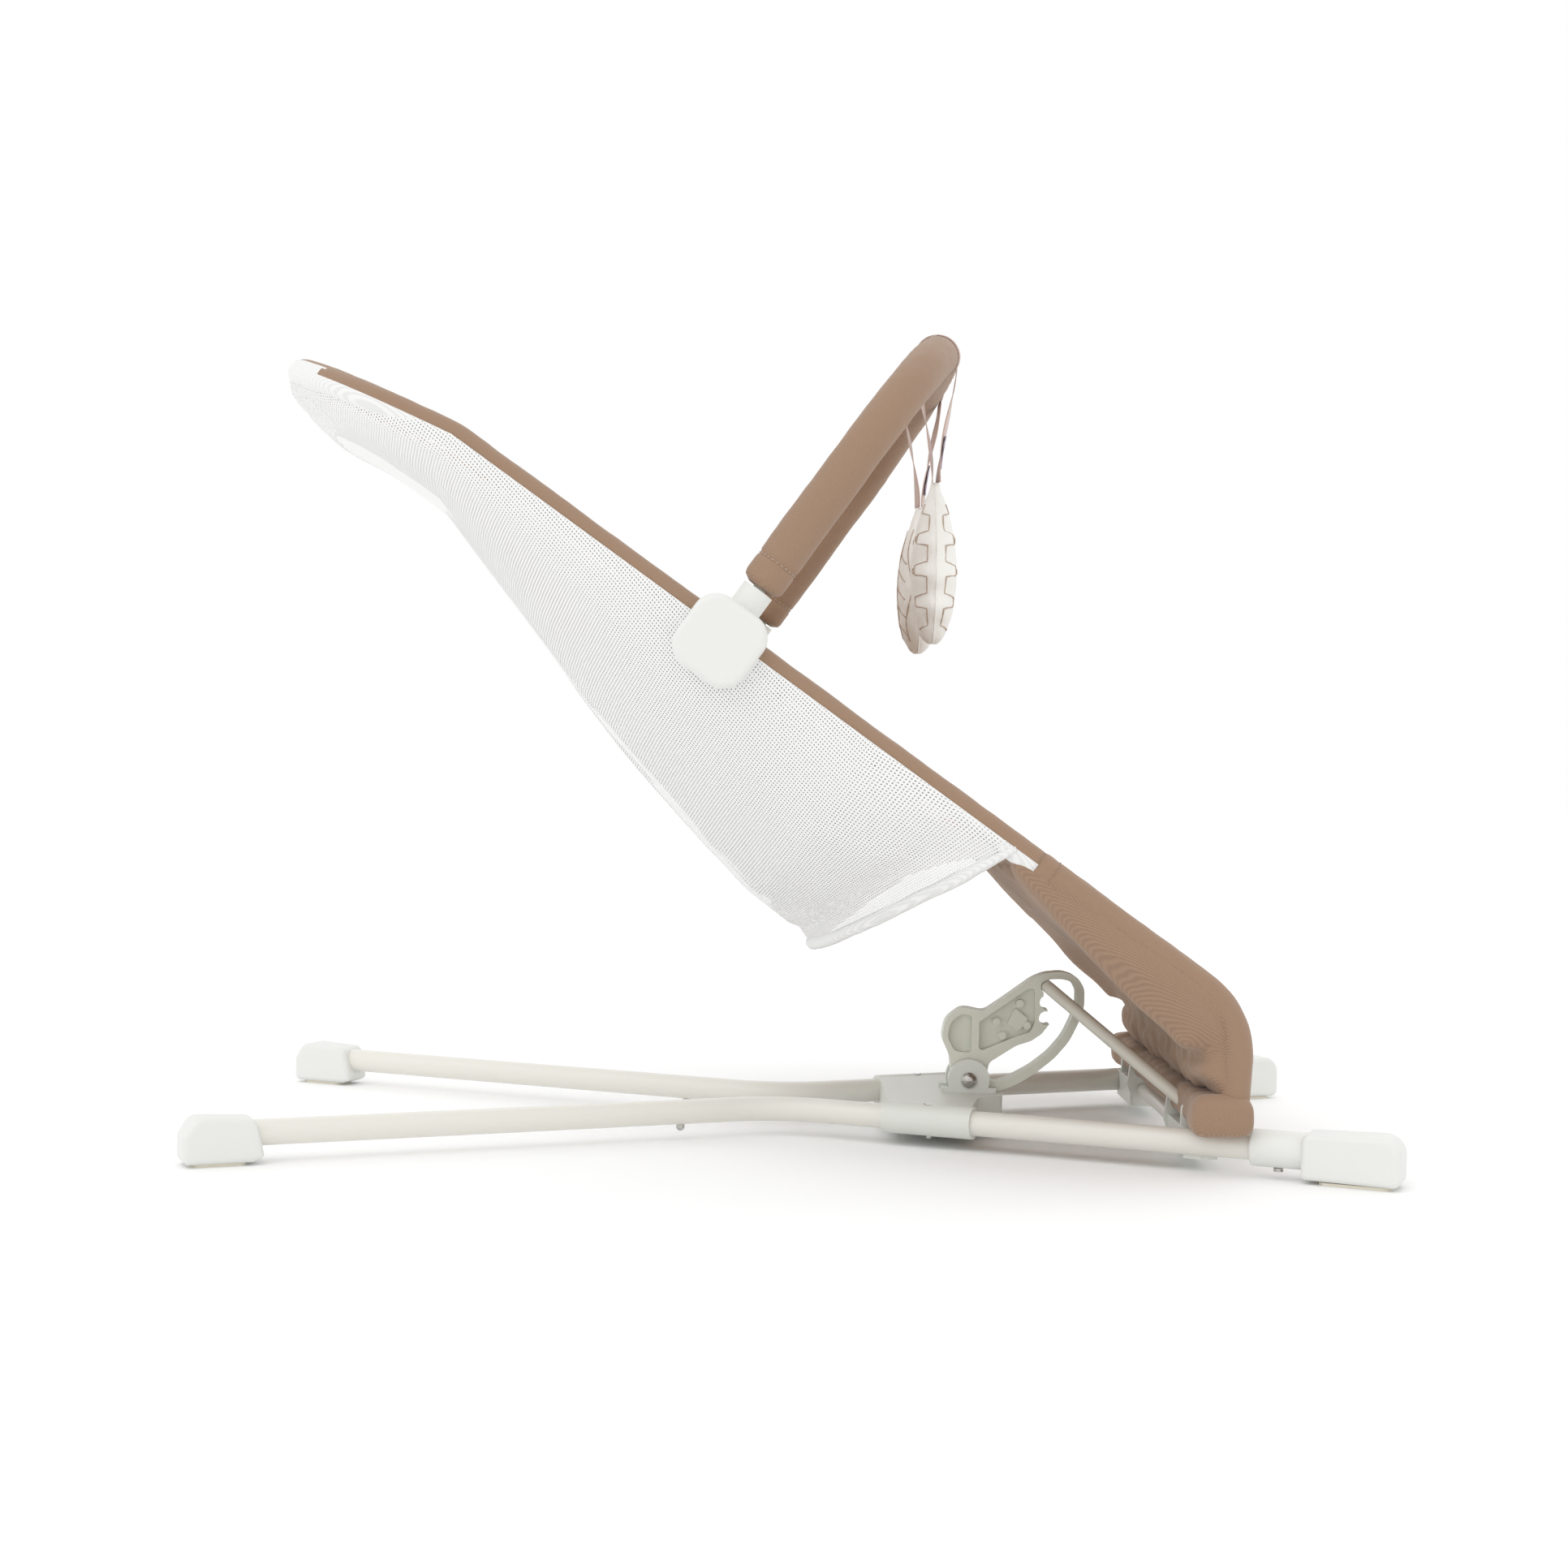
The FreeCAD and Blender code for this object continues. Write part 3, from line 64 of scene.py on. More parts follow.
# distance along the side tube from the head, and the depth of the hammock's centre line below the tube
DEPTHS = [(-0.0111, 0.0), (-0.0105, 0.012), (0.0015, 0.0205), (0.016, 0.0275), (0.038, 0.0335),
          (0.076, 0.0355), (0.110, 0.041), (0.149, 0.049), (0.249, 0.079), (0.353, 0.112), (0.424, 0.129),
          (0.481, 0.141), (0.539, 0.148), (0.566, 0.131), (0.586, 0.101), (0.608, 0.067), (0.630, 0.033),
          (0.648, 0.016), (0.662, 0.013), (0.684, 0.015), (0.712, 0.020), (0.770, 0.021), (0.834, 0.020)]
HEM_ALONG, HEM_REACH, HEM_DEPTH, LAST_ROW = 0.5834, 0.065, 0.152, 0.524
HUB_CENTRE = Vector((-0.0588, 0, 0.3802))


# ---------------------------------------------------------------- shapes shared by the fabric pieces
def smooth_table(table, at):
    """A smooth value between the rows of a (place, value) table."""
    for i in range(len(table) - 1):
        (left, here), (right, there) = table[i], table[i + 1]
        if at <= right:
            break
    before, after = table[max(i - 1, 0)], table[min(i + 2, len(table) - 1)]
    slope_in = (there - before[1]) / (right - before[0])
    slope_out = (after[1] - here) / (after[0] - left)
    width = right - left
    b = min(max((at - left) / width, 0.0), 1.0)
    a = 1 - b
    return (a * a * (1 + 2 * b) * here + b * b * (3 - 2 * b) * there
            + a * a * b * width * slope_in - a * b * b * width * slope_out)


def smooth_step(low, high, value):
    share = min(max((value - low) / (high - low), 0.0), 1.0)
    return share * share * (3 - 2 * share)


def seat_line_height(x):
    return HEAD_BEND.z - (x - HEAD_BEND.x) * math.tan(SEAT_ANGLE)


def frame_half_width(x):
    """Half-width of the side tubes' centre lines along the straight part."""
    if x > CLIP_X:
        return MID_HALF_WIDTH + (x - CLIP_X) / (KNEE.x - CLIP_X) * (FOOT_HALF_WIDTH - MID_HALF_WIDTH)
    return MID_HALF_WIDTH - 0.010 * (CLIP_X - x) / (CLIP_X - HEAD_BEND.x)


def seat_place(along, outset):
    """Centre between the side tubes, half-width with an outset from their centre lines, and heading."""
    centre, half_width, _ = tube_place(along, outset)
    turn = smooth_step(HEAD_RUN - 0.07, HEAD_RUN + 0.07, along)
    return centre, half_width, (HEAD_HEADING * (1 - turn) + DOWN_SEAT * turn).normalized()


def tube_place(along, outset):
    """The same with the tubes' own heading, which turns at the neck."""
    if along < HEAD_RUN:
        heading = HEAD_HEADING
        centre = HEAD_CORNER + heading * along
        share = along / HEAD_RUN
        straight = HEAD_HALF_WIDTH + max(share, 0) * (MID_HALF_WIDTH - 0.010 - HEAD_HALF_WIDTH)
        if along >= HEAD_RADIUS:
            return centre, straight + outset, heading
        across = math.sqrt(max((HEAD_RADIUS + outset) ** 2 - (HEAD_RADIUS - along) ** 2, 0))
        return centre, straight - HEAD_RADIUS + across, heading
    centre = HEAD_BEND + DOWN_SEAT * (along - HEAD_RUN)
    return centre, frame_half_width(centre.x) + outset, DOWN_SEAT


def hammock(along, across, outset, extra_depth=0.0):
    """A point of the hammock: across runs from -1 to 1 between the side tubes."""
    centre, half_width, heading = seat_place(along, outset)
    down = Vector((heading.z, 0, -heading.x))
    depth = smooth_table(DEPTHS, along) + extra_depth
    angle = across * math.pi / 2
    power = min(max(0.45 + depth * 4.5, 0.5), 1.0)
    spot = centre + down * (depth * max(math.cos(angle), 0.0) ** power)
    spot.y = half_width * math.sin(angle)
    return spot


def hammock_normal(along, across, outset):
    """Unit direction from the hammock towards the sitter."""
    across = max(min(across, 0.97), -0.97)
    lengthwise = hammock(along + 0.003, across, outset) - hammock(along - 0.003, across, outset)
    sideways = hammock(along, across + 0.01, outset) - hammock(along, across - 0.01, outset)
    return lengthwise.cross(sideways).normalized()


def above_hammock(along, across, outset, height):
    return hammock(along, across, outset) + hammock_normal(along, across, outset) * height


def rounded_path(points, radii, step=0.004):
    """Points along straight runs joined by tangent arcs."""
    path = [points[0]]
    for i in range(1, len(points) - 1):
        corner, radius = points[i], radii[i]
        back = (points[i - 1] - corner).normalized()
        ahead = (points[i + 1] - corner).normalized()
        half_turn = (math.pi - back.angle(ahead)) / 2
        if radius <= 0 or half_turn < 1e-4:
            path.append(corner)
            continue
        reach = radius * math.tan(half_turn)
        bisector = (back + ahead).normalized()
        centre = corner + bisector * (radius / math.cos(half_turn))
        start, end = corner + back * reach, corner + ahead * reach
        steps = max(int(radius * 2 * half_turn / step), 2)
        axis = (start - centre).cross(end - centre).normalized()
        for k in range(steps + 1):
            path.append(centre + Matrix.Rotation(2 * half_turn * k / steps, 3, axis) @ (start - centre))
    path.append(points[-1])
    return resampled(path, step)


def resampled(path, step):
    """The same line with evenly spaced points."""
    total = sum((b - a).length for a, b in zip(path, path[1:]))
    count = max(int(total / step), 2)
    spacing, made, travelled, index = total / count, [path[0].copy()], 0.0, 0
    for k in range(1, count):
        target = k * spacing
        while travelled + (path[index + 1] - path[index]).length < target:
            travelled += (path[index + 1] - path[index]).length
            index += 1
        run = path[index + 1] - path[index]
        made.append(path[index] + run * ((target - travelled) / run.length))
    made.append(path[-1].copy())
    return made


def grid_mesh(name, rows, closed_rows=False, uv=None):
    """A mesh from a grid of points; uv is a matching grid of pairs."""
    width = len(rows[0])
    mesh = bpy.data.meshes.new(name)
    faces = []
    for i in range(len(rows) - 1):
        for j in range(width if closed_rows else width - 1):
            k = (j + 1) % width
            faces.append((i * width + j, i * width + k, (i + 1) * width + k, (i + 1) * width + j))
    mesh.from_pydata([point for row in rows for point in row], [], faces)
    if uv:
        layer = mesh.uv_layers.new(name="UVMap")
        flat = [pair for row in uv for pair in row]
        for loop in mesh.loops:
            layer.data[loop.index].uv = flat[loop.vertex_index]
    return link(name, mesh)


def link(name, mesh):
    made = bpy.data.objects.new(name, mesh)
    bpy.context.scene.collection.objects.link(made)
    for face in mesh.polygons:
        face.use_smooth = True
    return made


def sweep_mesh(name, path, radius_at, sides=24, caps=True, squeeze=1.0):
    """A tube along a path; radius_at(share along, angle) gives its radius. UV runs in metres."""
    rows, uv, travelled = [], [], 0.0
    normal = None
    for i, point in enumerate(path):
        ahead = path[min(i + 1, len(path) - 1)] - path[max(i - 1, 0)]
        tangent = ahead.normalized()
        if normal is None:
            seed = Vector((0, 1, 0)) if abs(tangent.y) < 0.9 else Vector((1, 0, 0))
            normal = tangent.cross(seed).normalized()
        normal = (normal - tangent * normal.dot(tangent)).normalized()
        binormal = tangent.cross(normal)
        if i:
            travelled += (point - path[i - 1]).length
        ring, pairs = [], []
        for k in range(sides):
            angle = 2 * math.pi * k / sides
            radius = radius_at(i / (len(path) - 1), angle, travelled)
            ring.append(point + normal * (math.cos(angle) * radius)
                        + binormal * (math.sin(angle) * radius * squeeze))
            pairs.append((angle * 0.010, travelled))
        rows.append(ring)
        uv.append(pairs)
    made = grid_mesh(name, rows, closed_rows=True, uv=uv)
    if caps:
        with editing(made) as edit:
            for start in (0, (len(rows) - 1) * sides):
                loop = [edit.verts[start + k] for k in range(sides)]
                edit.faces.new(loop if start else loop[::-1]).smooth = True
    recalculate(made)
    return made


@contextmanager
def editing(made):
    """The piece's mesh, open for changes that are written back at the end."""
    edit = bmesh.new()
    edit.from_mesh(made.data)
    edit.verts.ensure_lookup_table()
    yield edit
    edit.to_mesh(made.data)
    edit.free()


def recalculate(made):
    with editing(made) as edit:
        bmesh.ops.recalc_face_normals(edit, faces=edit.faces)


def thicken(made, thickness, offset=1.0):
    """Give a sheet its real thickness."""
    solid = made.modifiers.new("thickness", "SOLIDIFY")
    solid.thickness = thickness
    solid.offset = offset
    apply_modifiers(made)


def subdivide(made, levels=1):
    modifier = made.modifiers.new("subdivision", "SUBSURF")
    modifier.levels = modifier.render_levels = levels
    apply_modifiers(made)


def apply_modifiers(made):
    graph = bpy.context.evaluated_depsgraph_get()
    shown = made.evaluated_get(graph)
    mesh = bpy.data.meshes.new_from_object(shown, preserve_all_data_layers=True, depsgraph=graph)
    made.modifiers.clear()
    made.data = mesh
    for face in mesh.polygons:
        face.use_smooth = True


def closed_pad(name, alongs, acrosses, outset, low, high):
    """A closed pad between two offsets from the hammock; low and high take (along, across)."""
    lower, upper = [], []
    for along in alongs:
        lower.append([above_hammock(along, a, outset, low(along, a)) for a in acrosses])
        upper.append([above_hammock(along, a, outset, high(along, a)) for a in acrosses])
    return solid_between(name, lower, upper)


def solid_between(name, lower, upper):
    """Close two matching grids of points into one mesh."""
    rows, width = len(lower), len(lower[0])
    points = [p for row in lower for p in row] + [p for row in upper for p in row]
    shift = rows * width
    faces = []
    for i in range(rows - 1):
        for j in range(width - 1):
            a, b, c, d = i * width + j, i * width + j + 1, (i + 1) * width + j + 1, (i + 1) * width + j
            faces.append((a, d, c, b))
            faces.append((a + shift, b + shift, c + shift, d + shift))
    rim = ([j for j in range(width)] + [i * width + width - 1 for i in range(1, rows)]
           + [(rows - 1) * width + j for j in range(width - 2, -1, -1)]
           + [i * width for i in range(rows - 2, 0, -1)])
    for a, b in zip(rim, rim[1:] + rim[:1]):
        faces.append((a, b, b + shift, a + shift))
    mesh = bpy.data.meshes.new(name)
    mesh.from_pydata(points, [], faces)
    made = link(name, mesh)
    recalculate(made)
    return made


def spread(first, last, count):
    return [first + (last - first) * i / (count - 1) for i in range(count)]


CLOTH_STEPS = 20


def inflate(made, voxel, pressure, cap):
    """Swell a closed fabric piece by cloth simulation, moving no point further than cap."""
    remesh = made.modifiers.new("remesh", "REMESH")
    remesh.mode = "VOXEL"
    remesh.voxel_size = voxel
    apply_modifiers(made)
    rest = [v.co.copy() for v in made.data.vertices]
    cloth = made.modifiers.new("cloth", "CLOTH")
    cloth.settings.quality = 5
    cloth.settings.mass = 0.2
    cloth.settings.tension_stiffness = 12
    cloth.settings.compression_stiffness = 12
    cloth.settings.bending_stiffness = 0.6
    cloth.settings.use_pressure = True
    cloth.settings.uniform_pressure_force = pressure
    cloth.settings.effector_weights.gravity = 0
    cloth.collision_settings.use_collision = False
    scene = bpy.context.scene
    for step in range(1, CLOTH_STEPS + 1):
        scene.frame_set(step)
    graph = bpy.context.evaluated_depsgraph_get()
    result = made.evaluated_get(graph).to_mesh()
    moved = [v.co.copy() for v in result.vertices]
    made.evaluated_get(graph).to_mesh_clear()
    made.modifiers.clear()
    scene.frame_set(1)
    for v, before, after in zip(made.data.vertices, rest, moved):
        step = after - before
        if step.length > cap:
            step = step * (cap / step.length)
        v.co = before + step


# ---------------------------------------------------------------- materials
def srgb(red, green, blue):
    """Linear colour from 0-255 display values."""
    def linear(value):
        share = value / 255
        return share / 12.92 if share <= 0.04045 else ((share + 0.055) / 1.055) ** 2.4
    return (linear(red), linear(green), linear(blue), 1.0)


class Shader:
    """A small builder for one node material."""

    def __init__(self, name):
        self.material = bpy.data.materials.new(name)
        self.material.use_nodes = True
        self.tree = self.material.node_tree
        self.surface = self.tree.nodes["Principled BSDF"]
        self.coords = self.tree.nodes.new("ShaderNodeTexCoord")

    def node(self, kind, inputs=None, **settings):
        made = self.tree.nodes.new(kind)
        for key, value in settings.items():
            setattr(made, key, value)
        for key, value in (inputs or {}).items():
            if isinstance(value, bpy.types.NodeSocket):
                self.tree.links.new(value, made.inputs[key])
            else:
                made.inputs[key].default_value = value
        return made

    def math(self, operation, first, second=0.0):
        return self.node("ShaderNodeMath", {0: first, 1: second}, operation=operation).outputs[0]

    def noise(self, scale, detail=3.0, stretch=None, roughness=0.5, coords="Object"):
        vector = self.coords.outputs[coords]
        if stretch:
            vector = self.node("ShaderNodeMapping", {"Vector": vector, "Scale": stretch}).outputs[0]
        return self.node("ShaderNodeTexNoise", {"Vector": vector, "Scale": scale, "Detail": detail,
                                                "Roughness": roughness}).outputs["Fac"]

    def wave(self, period, direction="DIAGONAL", turn=(0, 0, 0), distortion=0.0, coords="Object"):
        """Bands with the given period in metres."""
        turned = self.node("ShaderNodeMapping", {"Vector": self.coords.outputs[coords], "Rotation": turn})
        vector = turned.outputs[0]
        factor = 2 * math.pi / 20 / period
        if direction == "DIAGONAL":
            factor = 2 * math.pi / 10 / math.sqrt(3) / period
        return self.node("ShaderNodeTexWave", {"Vector": vector, "Scale": factor, "Distortion": distortion,
                                               "Detail": 1.0, "Detail Scale": 2.0},
                         wave_type="BANDS", bands_direction=direction).outputs["Fac"]

    def ramp(self, factor, *stops):
        made = self.node("ShaderNodeValToRGB", {"Fac": factor})
        elements = made.color_ramp.elements
        while len(elements) < len(stops):
            elements.new(0.5)
        for element, (place, colour) in zip(elements, stops):
            element.position, element.color = place, colour
        return made.outputs["Color"]

    def mix(self, factor, first, second, blend="MIX"):
        made = self.node("ShaderNodeMix", data_type="RGBA", blend_type=blend)
        colour_inputs = [s for s in made.inputs if s.type == "RGBA"]
        sockets = [made.inputs[0]] + colour_inputs
        for socket, value in zip(sockets, (factor, first, second)):
            if isinstance(value, bpy.types.NodeSocket):
                self.tree.links.new(value, socket)
            else:
                socket.default_value = value
        return [s for s in made.outputs if s.type == "RGBA"][0]

    def mottle(self, colour, amount, size, detail=3, darker=0.93):
        """The colour with faint darker patches."""
        patches = self.math("MULTIPLY", self.noise(size, detail), amount)
        return self.mix(patches, colour, shade(colour, darker))

    def bump(self, height, strength, distance, normal=None):
        inputs = {"Height": height, "Strength": strength, "Distance": distance}
        if normal is not None:
            inputs["Normal"] = normal
        return self.node("ShaderNodeBump", inputs).outputs["Normal"]

    def finish(self, colour, roughness, normal=None, **constants):
        for key, value in (("Base Color", colour), ("Roughness", roughness), ("Normal", normal)):
            if value is None:
                continue
            if isinstance(value, bpy.types.NodeSocket):
                self.tree.links.new(value, self.surface.inputs[key])
            else:
                self.surface.inputs[key].default_value = value
        for key, value in constants.items():
            self.surface.inputs[key.replace("_", " ")].default_value = value
        return self.material


def shade(colour, factor):
    return (colour[0] * factor, colour[1] * factor, colour[2] * factor, 1.0)


def twill(name, colour, period=0.0011, turn=(0, 0, 0), puff=0.0):
    """Brushed cotton twill: fine diagonal ribs, slubs and faint wear."""
    s = Shader(name)
    ribs = s.wave(period, "DIAGONAL", turn, 0.35)
    cross = s.wave(period * 0.8, "DIAGONAL", (turn[0], turn[1] + 1.35, turn[2] + 0.5), 0.2)
    weave = s.math("ADD", s.math("MULTIPLY", ribs, 0.7), s.math("MULTIPLY", cross, 0.3))
    slub = s.noise(900, 2, (1, 1, 0.35))
    patch = s.noise(9, 4)
    base = s.ramp(weave, (0.1, shade(colour, 0.80)), (0.9, shade(colour, 1.10)))
    mottled = s.mix(s.math("MULTIPLY", slub, 0.35), base, shade(colour, 1.3))
    worn = s.mix(s.math("MULTIPLY", patch, 0.16), mottled, shade(colour, 0.82))
    normal = s.bump(weave, 0.45, 0.00028)
    normal = s.bump(slub, 0.18, 0.0003, normal)
    if puff:
        normal = s.bump(s.noise(38, 3), puff, 0.002, normal)
    return s.finish(worn, 0.88, normal, Sheen_Weight=0.25, Sheen_Roughness=0.5, Specular_IOR_Level=0.2)


def open_net(name, colour, pitch=0.0030, thread=0.36):
    """White knitted net: round threads with square holes between them."""
    s = Shader(name)
    uv = s.node("ShaderNodeSeparateXYZ", {"Vector": s.coords.outputs["UV"]})
    ridges = []
    for axis in ("X", "Y"):
        cell = s.math("FRACT", s.math("DIVIDE", uv.outputs[axis], pitch))
        away = s.math("ABSOLUTE", s.math("SUBTRACT", cell, 0.5))
        ridges.append(s.math("SUBTRACT", 0.5, away))
    nearest = s.math("MINIMUM", ridges[0], ridges[1])
    threads = s.math("LESS_THAN", nearest, thread / 2)
    height = s.math("SUBTRACT", 0.5, nearest)
    tone = s.mottle(colour, 0.25, 14)
    normal = s.bump(height, 0.5, 0.0006)
    material = s.finish(tone, 0.75, normal, Sheen_Weight=0.2, Specular_IOR_Level=0.25)
    s.tree.links.new(threads, s.surface.inputs["Alpha"])
    return material


def net_band(name, colour):
    """Tightly folded net, as on a hem: the same threads with no open holes."""
    s = Shader(name)
    grain = s.noise(700, 2)
    ribs = s.wave(0.0016, "DIAGONAL", (0.3, 0.2, 0.1), 0.2)
    tone = s.ramp(ribs, (0.2, shade(colour, 0.90)), (0.8, colour))
    normal = s.bump(s.math("ADD", ribs, grain), 0.35, 0.0004)
    return s.finish(tone, 0.78, normal, Sheen_Weight=0.2, Specular_IOR_Level=0.25)


def moulded(name, colour, roughness=0.42, grain=0.12):
    """Injection-moulded plastic: fine spark texture, slight flow tone and soft gloss."""
    s = Shader(name)
    tone = s.mottle(colour, 0.22, 6)
    spark = s.noise(1500, 2)
    rough = s.math("ADD", s.math("MULTIPLY", s.noise(40, 2), 0.12), roughness - 0.06)
    normal = s.bump(spark, grain, 0.0002)
    return s.finish(tone, rough, normal, Coat_Weight=0.06, Coat_Roughness=0.35)


def powder_coat(name, colour):
    """Satin powder coat on steel tube: orange peel and a clear sheen."""
    s = Shader(name)
    peel = s.noise(420, 2)
    tone = s.mottle(colour, 0.18, 11, darker=0.94)
    rough = s.math("ADD", s.math("MULTIPLY", s.noise(60, 2), 0.10), 0.30)
    return s.finish(tone, rough, s.bump(peel, 0.10, 0.0003), Coat_Weight=0.15, Coat_Roughness=0.2)


def steel(name):
    """Zinc-plated hardware with turning marks."""
    s = Shader(name)
    marks = s.noise(90, 4, (1, 14, 14))
    tone = s.ramp(marks, (0.3, (0.36, 0.35, 0.34, 1)), (0.75, (0.68, 0.66, 0.62, 1)))
    rough = s.math("ADD", s.math("MULTIPLY", marks, 0.2), 0.18)
    return s.finish(tone, rough, s.bump(marks, 0.15, 0.0002), Metallic=1.0)


def rubber(name, colour):
    s = Shader(name)
    tone = s.mottle(colour, 0.4, 160, darker=0.82)
    return s.finish(tone, 0.9, s.bump(s.noise(500, 3), 0.5, 0.0005), Specular_IOR_Level=0.2)


def cotton(name, colour, period=0.0007):
    """Plain woven cotton."""
    s = Shader(name)
    warp = s.wave(period, "X", (0.2, 0.1, 0.3), 0.3)
    weft = s.wave(period, "Z", (0.2, 0.1, 0.3), 0.3)
    weave = s.math("MULTIPLY", warp, weft)
    tone = s.ramp(weave, (0.0, shade(colour, 0.88)), (0.7, colour))
    worn = s.mix(s.math("MULTIPLY", s.noise(30, 3), 0.2), tone, shade(colour, 0.9))
    normal = s.bump(weave, 0.4, 0.0002)
    normal = s.bump(s.noise(90, 3), 0.35, 0.0012, normal)
    return s.finish(worn, 0.9, normal, Sheen_Weight=0.3, Specular_IOR_Level=0.15)


def satin_ribbon(name, colour):
    s = Shader(name)
    threads = s.wave(0.0005, "Z", (0, 0.4, 0), 0.1)
    tone = s.ramp(threads, (0.1, shade(colour, 0.88)), (0.9, shade(colour, 1.06)))
    return s.finish(tone, 0.45, s.bump(threads, 0.3, 0.0002), Sheen_Weight=0.3)


def webbing(name, colour):
    """Woven strap with a herringbone rib."""
    s = Shader(name)
    one = s.wave(0.0016, "DIAGONAL", (0.0, 0.0, 0.2), 0.05)
    other = s.wave(0.0016, "DIAGONAL", (0.0, 1.2, 1.7), 0.05)
    rib = s.math("MAXIMUM", one, other)
    tone = s.ramp(rib, (0.3, shade(colour, 0.72)), (0.9, shade(colour, 1.08)))
    return s.finish(tone, 0.8, s.bump(rib, 0.6, 0.0004), Sheen_Weight=0.2, Specular_IOR_Level=0.25)


def stitch_thread(name, colour):
    s = Shader(name)
    ply = s.wave(0.0008, "DIAGONAL", (0.5, 0.1, 0.2), 0.1)
    return s.finish(s.ramp(ply, (0.2, shade(colour, 0.75)), (0.8, colour)), 0.7, s.bump(ply, 0.5, 0.0002),
                    Sheen_Weight=0.2)


BROWN = srgb(158, 130, 108)
MATERIALS = {
    "twill": twill("brown_twill_cloth", BROWN),
    "panel": twill("brown_panel_cloth", BROWN, turn=(0.3, 0.5, 0.2), puff=0.25),
    "pad": twill("quilted_twill_cloth", shade(BROWN, 1.04), turn=(0.2, 0.9, 0.4), puff=0.2),
    "lining": cotton("pale_lining", srgb(252, 252, 251), 0.0009),
    "net": open_net("white_net", srgb(241, 241, 240), 0.0024, 0.58),
    "hem": net_band("white_hem", srgb(240, 240, 239)),
    "tube": powder_coat("offwhite_powder_coat", srgb(230, 227, 219)),
    "rod": powder_coat("warm_powder_coat", srgb(216, 212, 200)),
    "hub": moulded("hub_plastic", srgb(222, 224, 217)),
    "arm": moulded("arm_plastic", srgb(222, 223, 210), 0.45),
    "white": moulded("white_plastic", srgb(229, 230, 226)),
    "rubber": rubber("cream_rubber", srgb(236, 230, 214)),
    "steel": steel("plated_steel"),
    "webbing": webbing("brown_webbing", srgb(150, 124, 102)),
    "buckle": moulded("buckle_plastic", srgb(222, 217, 206), 0.38),
    "button": moulded("button_plastic", srgb(188, 178, 164), 0.3),
    "ribbon": satin_ribbon("dusty_ribbon", srgb(205, 178, 166)),
    "toy": cotton("toy_cotton", srgb(250, 248, 242)),
    "thread": stitch_thread("brown_thread", srgb(166, 138, 118)),
    "light_thread": stitch_thread("pale_thread", srgb(196, 172, 152)),
    "velcro": cotton("lavender_tape", srgb(196, 182, 200), 0.0012),
}
CAD_FINISHES = {
    "painted_tube": "tube", "painted_rod": "rod", "hub_plastic": "hub", "arm_plastic": "arm",
    "foot_rubber": "rubber", "steel": "steel", "white_plastic": "white", "white_mesh": "net",
    "pad_twill": "pad",
    "brown_twill": "twill", "webbing": "webbing", "buckle_plastic": "buckle", "button_plastic": "button",
    "ribbon": "ribbon", "toy_fabric": "toy",
}


def dress(made, key):
    made.data.materials.clear()
    made.data.materials.append(MATERIALS[key])
    return made


def attach(made, body, slot, *nodes):
    """The body a piece rides on and the CAD nodes it stands for; slot, its finish slot, is not used."""
    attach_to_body(made, body)
    if nodes:
        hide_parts(*nodes)


def dress_cad_nodes():
    """Give every carried-over CAD node its procedural material and smooth shading by angle."""
    slots = {row["node"]: row["material_slot"] for row in frame["record"]["subparts"]}
    for node, shown in NODES.items():
        dress(shown, CAD_FINISHES[slots[node]])
        for face in shown.data.polygons:
            face.use_smooth = True
        smooth = shown.modifiers.new("soft_edges", "EDGE_SPLIT")
        smooth.split_angle = math.radians(32)


# ---------------------------------------------------------------- seat frame casing
def frame_path(lower):
    """Centre line of the left side tube below the joint, or of the whole hoop above it."""
    def side(point, half):
        return Vector((point.x, half, point.z))
    joint = Vector((JOINT_X, frame_half_width(JOINT_X), seat_line_height(JOINT_X)))
    if lower:
        return rounded_path([side(FRAME_END, FOOT_HALF_WIDTH), side(KNEE, FOOT_HALF_WIDTH), joint],
                            [0, KNEE_RADIUS, 0])
    middle = Vector((CLIP_X, MID_HALF_WIDTH, seat_line_height(CLIP_X)))
    left = [joint, middle, side(HEAD_BEND, MID_HALF_WIDTH - 0.010), side(HEAD_CORNER, HEAD_HALF_WIDTH)]
    right = [Vector((p.x, -p.y, p.z)) for p in reversed(left)]
    bends = [0, 1.5, NECK_RADIUS, HEAD_RADIUS]
    return rounded_path(left + right, bends + bends[::-1])


def wrinkled(base, amount, seed):
    """Radius of a fabric sleeve with soft creases."""
    def radius(share, angle, travelled):
        spot = Vector((travelled * 28 + seed, math.cos(angle) * 1.4, math.sin(angle) * 1.4))
        fine = Vector((travelled * 95 + seed, math.cos(angle) * 2.2, math.sin(angle) * 2.2))
        return base + amount * (noise.noise(spot) * 0.7 + noise.noise(fine) * 0.45)
    return radius


def whiten_underside(casing):
    """The hoop's sleeve is twill on top and net below; ring place 0 looks down and the outside is at 3/4."""
    casing.data.materials.append(MATERIALS["hem"])
    for face in casing.data.polygons:
        turn = (face.index % CASING_SIDES + 0.5) / CASING_SIDES
        at_head_bar = face.center.x < -0.345 and abs(face.center.y) < 0.155
        if turn > (0.62 if at_head_bar else 0.75) or turn < 0.25:
            face.material_index = 1


